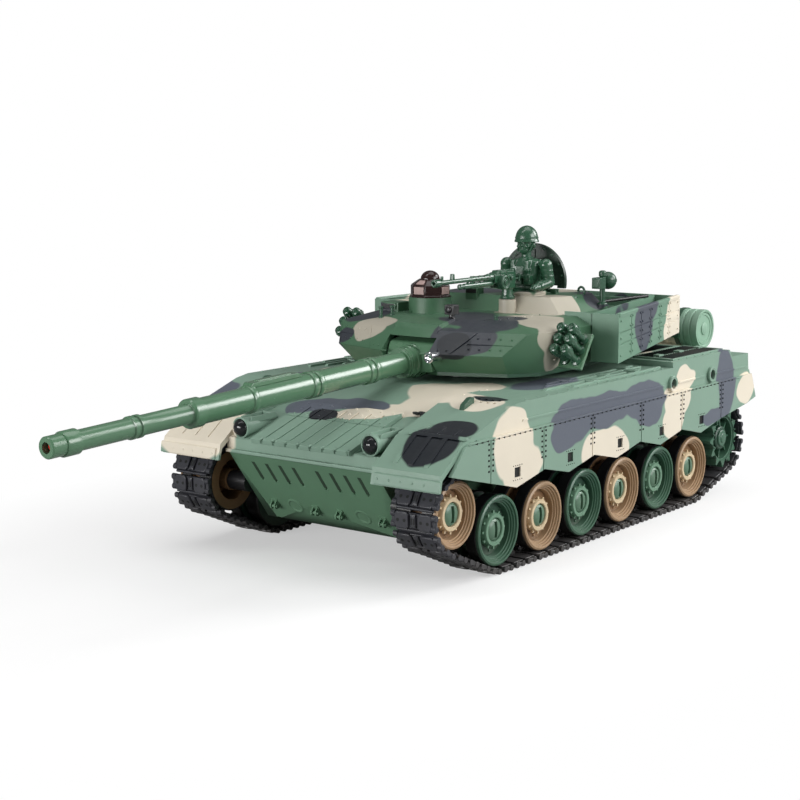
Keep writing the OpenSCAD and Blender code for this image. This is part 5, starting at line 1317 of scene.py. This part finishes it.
def make_mast_and_lamps():
    x, s = MAST
    foot = 103.9
    mast = Shape()
    mast.spin([(0, -0.6), (2.6, -0.6), (2.6, 0.6), (1.9, 1.0), (1.4, 1.2), (1.4, 13.6), (1.9, 14.0), (1.9, 16.0),
            (1.4, 16.7), (0, 16.9)], (x, s, foot), UP, 28)
    mast.box(x - 2.4, x + 2.4, s - 6.4, s - 0.6, foot + 8, foot + 13.5)
    mast.box(x - 1.9, x + 1.9, s - 6.9, s - 6.2, foot + 8.6, foot + 12.9)
    mast.rod((x, s, foot + 11.5), (x, s + 5.0, foot + 11.5), 1.1, seg=16)
    make_piece("mast_post", mast, fitting_plastic, "turret", edge=0.3, node="warning_mast")
    ball = Shape()
    ball.ball((x, s + 5.2, foot + 11.5), (4.4, 4.4, 4.4), 32, 16)
    ball.spin([(3.0, -0.6), (4.5, -0.6), (4.5, 0.6), (3.0, 0.6)], (x, s + 5.2, foot + 11.5), UP, 32, loop=True)
    make_piece("mast_sensor", ball, fitting_plastic, "turret", edge=0)
    lamp = Shape()
    lamp.spin([(0, -0.6), (1.9, -0.6), (1.9, 0.3), (1.3, 0.6), (1.3, 2.4), (0, 2.4)], (8.2, 106, ROOF_Z), UP, 20)
    lamp.box(5.6, 10.8, 103.6, 108.4, ROOF_Z + 2.0, ROOF_Z + 6.6)
    lamp.spin([(0, 0), (1.6, 0), (1.7, -0.6), (1.3, -1.1), (0, -1.3)], (8.2, 103.7, ROOF_Z + 4.3), ALONG, 24)
    make_piece("roof_lamp", lamp, black_plastic, "turret", edge=0.4, node="turret_lamps")
    cheek = Shape()
    cheek.spin([(0, 12), (2.4, 12), (2.4, 0.6), (2.6, 0.4), (2.6, -0.3), (2.2, -0.6), (1.7, -0.3), (1.4, 0.9),
            (0, 1.3)], (17, 76, 86.7), ALONG, 32)
    make_piece("cheek_lamp", cheek, chrome, "turret", edge=0)


make_turret()
make_baskets()
make_smoke_racks()
make_dome()
make_mast_and_lamps()

# Gun and machine gun

GUN = Matrix.Translation((0, *TRUNNION)) @ Matrix.Rotation(GUN_DROOP, 4, "X")


def make_gun():
    dressed("gun_mantlet", gun_plastic, "gun", 0.25)
    tube = Shape(GUN)
    thick, slim = 5.4, 4.05
    profile = [(0, 3), (4.8, 3), (4.8, 21.2), (thick, 21.2)]
    for a, b in ((41, 44), (45, 48), (80, 83), (84, 87), (122, 125)):
        profile += [(thick, a - 0.3), (thick + 0.45, a), (thick + 0.6, a + 0.4), (thick + 0.6, b - 0.4),
                (thick + 0.45, b), (thick, b + 0.3)]
    profile += [(thick, 152.6), (thick + 0.7, 153.2), (thick + 0.7, 158.4), (thick + 0.3, 159), (slim + 0.3, 159),
            (slim, 159.6)]
    for a in (185, 188.4):
        profile += [(slim, a), (slim + 0.6, a + 0.3), (slim + 0.6, a + 1.9), (slim, a + 2.2)]
    profile += [(slim, 216.6), (4.95, 217.2), (4.95, 223.6), (4.6, 224.2), (4.3, 224.2), (4.3, 230.5), (3.9, 231),
            (2.2, 231), (2.2, 222), (0, 222)]
    tube.spin([(r, -d) for r, d in profile], (0, 0, 0), ALONG, 56)
    make_piece("barrel_tube", tube, gun_plastic, "gun", edge=0, node="gun_barrel")
    box = Shape(GUN)
    box.prism([(-123.6, 5.0), (-124, 5.6), (-122.6, 7.0), (-94, 7.0), (-92, 5.4), (-92.2, 5.0)], -2.6, 2.6)
    box.box(-1.5, 1.5, -118, -98, 6.6, 7.4)
    make_piece("bore_evacuator", box, gun_plastic, "gun", edge=0.35)
    lamp = Shape(GUN)
    profile = [(0, -222), (2.0, -222), (2.0, -227.4), (1.7, -228.4), (1.0, -229.0), (0, -229.2)]
    lamp.spin(profile, (0, 0, 0), ALONG, 28)
    make_piece("muzzle_lens", lamp, red_lens, "gun", edge=0, node="muzzle_lamp")
    cuff = Shape(GUN)
    for k in range(4):
        d, r = -7.0 - 3.2 * k, 8.4 - 0.35 * k
        profile = [(5.2, d), (r - 0.4, d), (r, d - 0.5), (r, d - 2.2), (r - 0.5, d - 2.7), (5.2, d - 2.7)]
        cuff.spin(profile, (0, 0, 0), ALONG, 48, loop=True)
    make_piece("mantlet_cuff", cuff, gun_plastic, "gun", edge=0)
    shield = Shape(GUN)
    # The top of the shield just clears the turret's brow with the gun fully raised
    arc = [radians(a) for a in range(-20, 77, 4)]
    raised = GUN_RAISE - GUN_DROOP
    outline = [(min(13.8, 10.5 / sin(a + raised)) if a > 0.5 else 13.8, a) for a in arc]
    outline += [(9.2, a) for a in reversed(arc)]
    shield.prism([(-r * cos(a), r * sin(a)) for r, a in outline], -12.8, 12.8)
    make_piece("mantlet_shield", shield, gun_plastic, "gun", edge=0.4)


def make_machine_gun():
    seat, axis = 108.3, 119.5
    p = Shape(Matrix.Translation((CREW[0], MG_S, 0)))
    p.spin([(0, -5.3), (2.0, -5.3), (2.0, 0.05), (3.5, 0.05), (3.5, 1.2), (2.9, 1.6), (2.7, 4.6), (3.1, 5.0),
            (3.1, 6.0), (0, 6.0)], (0, 0, seat), UP, 32)
    for e in (-1, 1):
        p.prism([(-5.5, axis - 1.0), (-4.6, seat + 5.4), (1.8, seat + 5.4), (3.0, axis - 1.0), (1.0, axis + 0.6),
                (-3.4, axis + 0.6)], *sorted((e * 2.2, e * 3.1)))
        p.spin([(0, 0), (1.1, 0), (1.1, 0.7), (0.7, 1.0), (0, 1.0)], (e * 3.0, -1.2, axis - 1.0), (e, 0, 0), 16)
    p.prism([(-14, axis - 2.6), (-13, axis - 3.0), (3.4, axis - 3.0), (4.0, axis - 2.4), (4.0, axis + 1.0),
            (2.6, axis + 2.2), (-11.8, axis + 2.2), (-14, axis + 1.4)], -2.2, 2.2)
    p.prism([(-11.5, axis + 2.0), (-10.6, axis + 3.1), (-1.0, axis + 3.1), (1.6, axis + 2.0)], -1.7, 1.7)
    p.box(-2.5, 2.5, -9.6, -8.6, axis - 3.2, axis + 2.5)
    p.box(-2.5, 2.5, -4.4, -3.4, axis - 3.2, axis + 2.5)
    p.spin([(0, 0), (3.6, 0), (3.6, 2.6), (3.2, 3.0), (2.6, 3.0), (2.4, 2.5), (1.4, 2.5), (1.2, 3.1), (0, 3.2)],
            (2.1, -8.4, axis - 2.6), ACROSS, 32)
    p.box(-6.2, -2.0, -12, -3, axis - 5.6, axis + 0.2)
    p.box(-6.5, -2.0, -12.3, -2.7, axis - 0.5, axis + 0.5)
    for e in (-1, 1):
        p.rod((e * 1.5, 3.6, axis - 1.6), (e * 1.9, 7.4, axis - 1.8), 0.55, seg=10)
        p.rod((e * 1.9, 7.0, axis - 3.2), (e * 1.9, 7.4, axis + 0.6), 0.75, seg=12)
    p.spin([(0, -13.6), (1.9, -13.6), (1.9, -17.0), (1.45, -17.6), (1.4, -30.0), (1.1, -30.6), (1.1, -56.0),
            (1.75, -56.4), (1.85, -57.0), (1.85, -60.2), (1.5, -60.8), (0.8, -60.8), (0.8, -58), (0, -58)],
           (0, 0, axis), ALONG, 28)
    p.spin([(0, -13.6), (1.35, -13.6), (1.35, -36.8), (1.0, -37.4), (1.0, -38.6), (1.3, -39.0), (1.3, -40.4),
            (0.9, -40.8), (0, -40.8)], (0, 0, axis - 2.9), ALONG, 20)
    p.box(-0.7, 0.7, -31.0, -29.6, axis - 2.8, axis + 1.6)
    p.box(-0.5, 0.5, -54.8, -53.6, axis + 0.8, axis + 3.0)
    p.prism([(-47.0, axis), (-45.0, axis), (-45.4, axis + 3.6), (-46.6, axis + 3.6)], -0.9, 0.9)
    make_piece("machine_gun_look", p, figure_plastic, "machine_gun", edge=0.18, node="machine_gun")
    # Dark dots on the jacket: painted shade of its vent holes.
    vents = [((CREW[0] + 1.42 * cos(a), MG_S - 19 - 2.4 * k, axis + 1.42 * sin(a)), (cos(a), 0, sin(a)), ALONG)
             for k in range(5) for a in turns(4, 45 * (k % 2))]
    copies("machine_gun_vents", rivet_part(0.5, 0.15), vents, shade_dark, "machine_gun")


make_gun()
make_machine_gun()

# Hatch and crew figure


def make_hatch():
    x, s = HATCH
    hinge = PLATEAU_Z + 1.2
    mid = hinge + 5
    lid = Shape()
    turn = [radians(-11 + 202 * k / 72) for k in range(73)]
    edge = [(x + 18.5 * cos(a), max(mid + 18.5 * sin(a), hinge + 1.6)) for a in turn]
    inner = [(x + (u - x) * 0.86, max(mid + 1.0 + (v - mid - 1.0) * 0.84, hinge + 3.8)) for u, v in edge]
    ring = lambda pts, d: [(u, s + d, v) for u, v in pts]
    lid.skin([ring(inner, -0.5), ring(inner, -1.0), ring(edge, -1.0), ring(edge, 1.0), ring(inner, 1.25)])
    lid.hoop((x, s + 2.0, mid + 6.0), ALONG, 3.0, 0.6, 24, 8)
    lid.box(x - 8, x + 8, s - 1.15, s - 0.4, mid + 1.5, mid + 2.9)
    lid.box(x - 0.7, x + 0.7, s - 1.15, s - 0.4, mid - 1.0, mid + 15.5)
    notch, pin = Shape(), Shape()
    for d in (-12, 12):
        notch.box(x + d - 2.1, x + d + 2.1, s - 4, s + 4, hinge - 1, hinge + 2.9)
    for d in (-9, 6):
        leaf = [(s - 1, hinge - 0.6), (s - 1, hinge + 3.4), (s + 1, hinge + 3.4), (s + 1, hinge - 0.6)]
        pin.prism(leaf, x + d, x + d + 3)
    pin.rod((x - 13.2, s, hinge), (x + 13.2, s, hinge), 0.8, seg=16)
    # The lid takes the near-black green of painted shade.
    obj = carve(link("hatch_lid", lid.mesh("hatch_lid")), notch)
    fit_piece(soften(obj, 0.25), shaded_hatch_green, "hatch_cover", ("hatch_cover",))
    make_piece("hatch_hinge_pin", pin, fitting_plastic, "hatch_cover", edge=0.2)
    spots = [((x + 16.9 * cos(a), s - 1.0, mid + 16.9 * sin(a)), (0, -1, 0), ACROSS)
            for a in [radians(10 + 20 * k) for k in range(9)]]
    spots += [((u, s + 1.0, v), ALONG, ACROSS) for (u, _, v), _, _ in spots]
    copies("hatch_bolts", rivet_part(0.6, 0.45), spots, fitting_plastic, "hatch_cover")


def moulded(name, shape, voxel, body, stands_for):
    """Solids run together into one soft moulded form of the figure."""
    obj = link(name, shape.mesh(name))
    remesh = obj.modifiers.new("melt", "REMESH")
    remesh.mode = "VOXEL"
    remesh.voxel_size = voxel * MM
    ease = obj.modifiers.new("ease", "SMOOTH")
    ease.factor = 0.5
    ease.iterations = 2
    settle(obj)
    obj.data.polygons.foreach_set("use_smooth", [True] * len(obj.data.polygons))
    return fit_piece(obj, figure_plastic, body, (stands_for,))


def make_commander():
    x, s = CREW
    crew = Matrix.Translation((x, s, 0))
    neck, shoulder_z, shoulder_x = 127.6, 124.6, 11.4

    def oval(w, d, z, n=24):
        out = []
        for k in range(n):
            a = 2 * pi * k / n
            c, e = cos(a), sin(a)
            out.append((w * copysign(abs(c) ** 0.72, c), d * copysign(abs(e) ** 0.72, e), z))
        return out

    body = Shape(crew)
    body.skin([oval(5.6, 4.2, 104), oval(6.2, 4.6, 112), oval(6.9, 5.2, 116), oval(7.8, 5.6, 120),
            oval(8.0, 5.0, 123.6), oval(7.4, 4.2, 125.6), oval(5.2, 3.6, 126.8), oval(3.2, 3.0, 127.3)])
    body.skin([oval(6.9, 5.5, 112.2), oval(7.0, 5.6, 113.9)])
    for px in (-4.9, -0.2, 4.5):
        body.box(px - 1.9, px + 1.9, -6.9, -3.4, 114.6, 118.6)
        body.box(px - 2.1, px + 2.1, -7.2, -4.2, 117.6, 119.0)
        body.box(px - 0.5, px + 0.5, -7.4, -4.2, 116.6, 118.0)
    for px in (-4.2, 4.2):
        body.box(px - 1.2, px + 1.2, -6.2, -3.0, 119, 126.4)
        body.box(px - 1.2, px + 1.2, 3.0, 5.8, 116, 126.4)
        body.ball((px, -0.2, 126.0), (2.0, 4.4, 1.2), 16, 10)
        body.box(px - 1.5, px + 1.5, -6.6, -4.6, 121.0, 122.0)
    body.box(-2.6, 2.6, -6.0, -3.0, 119.4, 123.4)
    body.box(-4.8, 4.8, 4.0, 6.8, 114.0, 122.0)
    body.spin([(0, -0.5), (3.3, -0.5), (3.6, 0.2), (3.5, 0.9), (2.9, 1.3), (0, 1.3)], (0, 0, 126.6), UP, 28)
    moulded("commander_vest", body, 0.3, "turret", "commander_torso")

    head = Shape(crew)
    head.rod((0, 0, neck - 3.6), (0, 0, neck + 3.4), 2.5, 2.4, 20)
    head.ball((0, 0.0, neck + 6.8), (4.1, 4.5, 4.9), 28, 18)
    head.ball((0, -1.9, neck + 3.6), (2.8, 2.5, 2.0), 20, 12)
    bridge = [(-0.5, -4.0, neck + 8.0), (0.5, -4.0, neck + 8.0), (0.4, -3.4, neck + 8.2), (-0.4, -3.4, neck + 8.2)]
    tip = [(-0.8, -5.2, neck + 5.5), (0.8, -5.2, neck + 5.5), (0.8, -3.6, neck + 5.2), (-0.8, -3.6, neck + 5.2)]
    head.skin([bridge, tip])
    head.ball((0, -3.9, neck + 3.9), (1.3, 0.65, 0.35), 14, 8)
    head.box(-2.9, 2.9, -4.4, -3.0, neck + 7.9, neck + 8.6)
    for e in (-1, 1):
        head.ball((e * 4.1, 0.6, neck + 6.0), (0.8, 1.2, 1.6), 14, 10)
        head.ball((e * 2.4, -3.1, neck + 5.4), (1.2, 0.9, 0.9), 14, 10)
    moulded("commander_face", head, 0.24, "commander_head", "commander_head")
    helmet = Shape(crew)
    dome = [(5.6 * cos(a), 6.2 * sin(a)) for a in [radians(10 * k) for k in range(9)]]
    brim = [(4.6, -1.4), (5.9, -1.9), (6.15, -1.5), (5.85, -0.8)]
    helmet.spin(brim + dome + [(0, 6.25)], (0, 0.3, neck + 9.3), UP, 48)
    helmet.spin([(5.5, 0.2), (5.8, 0.3), (5.8, 0.9), (5.5, 1.0)], (0, 0.3, neck + 9.0), UP, 48, loop=True)
    for e in (-1, 1):
        helmet.rod((e * 4.7, -0.2, neck + 8.0), (e * 3.3, -2.4, neck + 3.0), 0.4, seg=8)
    helmet.rod((-3.3, -2.4, neck + 3.0), (3.3, -2.4, neck + 3.0), 0.4, seg=8)
    make_piece("commander_helmet", helmet, figure_plastic, "commander_head", edge=0)
    eyes = Shape(crew)
    for e in (-1, 1):
        eyes.ball((e * 1.55, -3.95, neck + 7.1), (0.66, 0.36, 0.32), 14, 8)
    make_piece("commander_eyes", eyes, shade_dark, "commander_head", edge=0)

    for e, label in SIDES:
        arm = Shape(crew)
        up = Vector((e * (shoulder_x + 0.1), 0, shoulder_z - 0.6))
        elbow = Vector((e * (shoulder_x + 1.2), 1.4, shoulder_z - 9))
        hand = Vector((e * (shoulder_x - 0.6), -7.4, shoulder_z - 11.2))
        arm.ball(up, (3.2, 3.4, 3.2), 20, 12)
        arm.rod(up, elbow, 3.2, 2.75, 20)
        arm.ball(elbow, (2.8, 2.9, 2.8), 20, 12)
        arm.rod(elbow, hand, 2.75, 2.0, 20)
        for share, fat in ((0.3, 3.15), (0.62, 3.05)):
            arm.ball(up.lerp(elbow, share), (fat + 0.1, fat + 0.1, 0.8), 16, 8)
        arm.rod(elbow.lerp(hand, 0.66), elbow.lerp(hand, 0.82), 2.7, 2.5, 20)
        arm.ball(hand + Vector((0, -0.7, 0.1)), (1.8, 2.3, 1.7), 16, 10)
        for f in range(3):
            arm.ball(hand + Vector((e * (-1.1 + 1.1 * f), -2.6, -0.3)), (0.65, 1.0, 0.9), 10, 8)
        arm.ball(hand + Vector((-e * 1.5, -0.9, 0.9)), (0.7, 1.1, 0.7), 10, 8)
        arm.rod((e * 5.4, 0, shoulder_z), up, 1.2, seg=14)
        name = "commander_arm_" + label
        moulded(name + "_look", arm, 0.28, name, name)


make_hatch()
make_commander()

# Finishes of the solids that stay as they are

PLAIN = {
    black_plastic: ("wheel_axles", "speaker", "power_switch", "gearbox_plates"),
    steel: ("hull_screws", "motors", "elevation_motor", "motor_pinion_left", "motor_pinion_right", "turret_pinion"),
    gear_plastic: ("turret_ring_gear", "compound_gear_left", "compound_gear_right", "elevation_pinion"),
    tub_plastic: ("battery_door",), board_resin: ("circuit_board",), cell_sleeve: ("battery_pack",),
}
for finish, nodes in PLAIN.items():
    for node in nodes:
        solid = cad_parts[node]
        solid.data.materials.clear()
        solid.data.materials.append(finish)
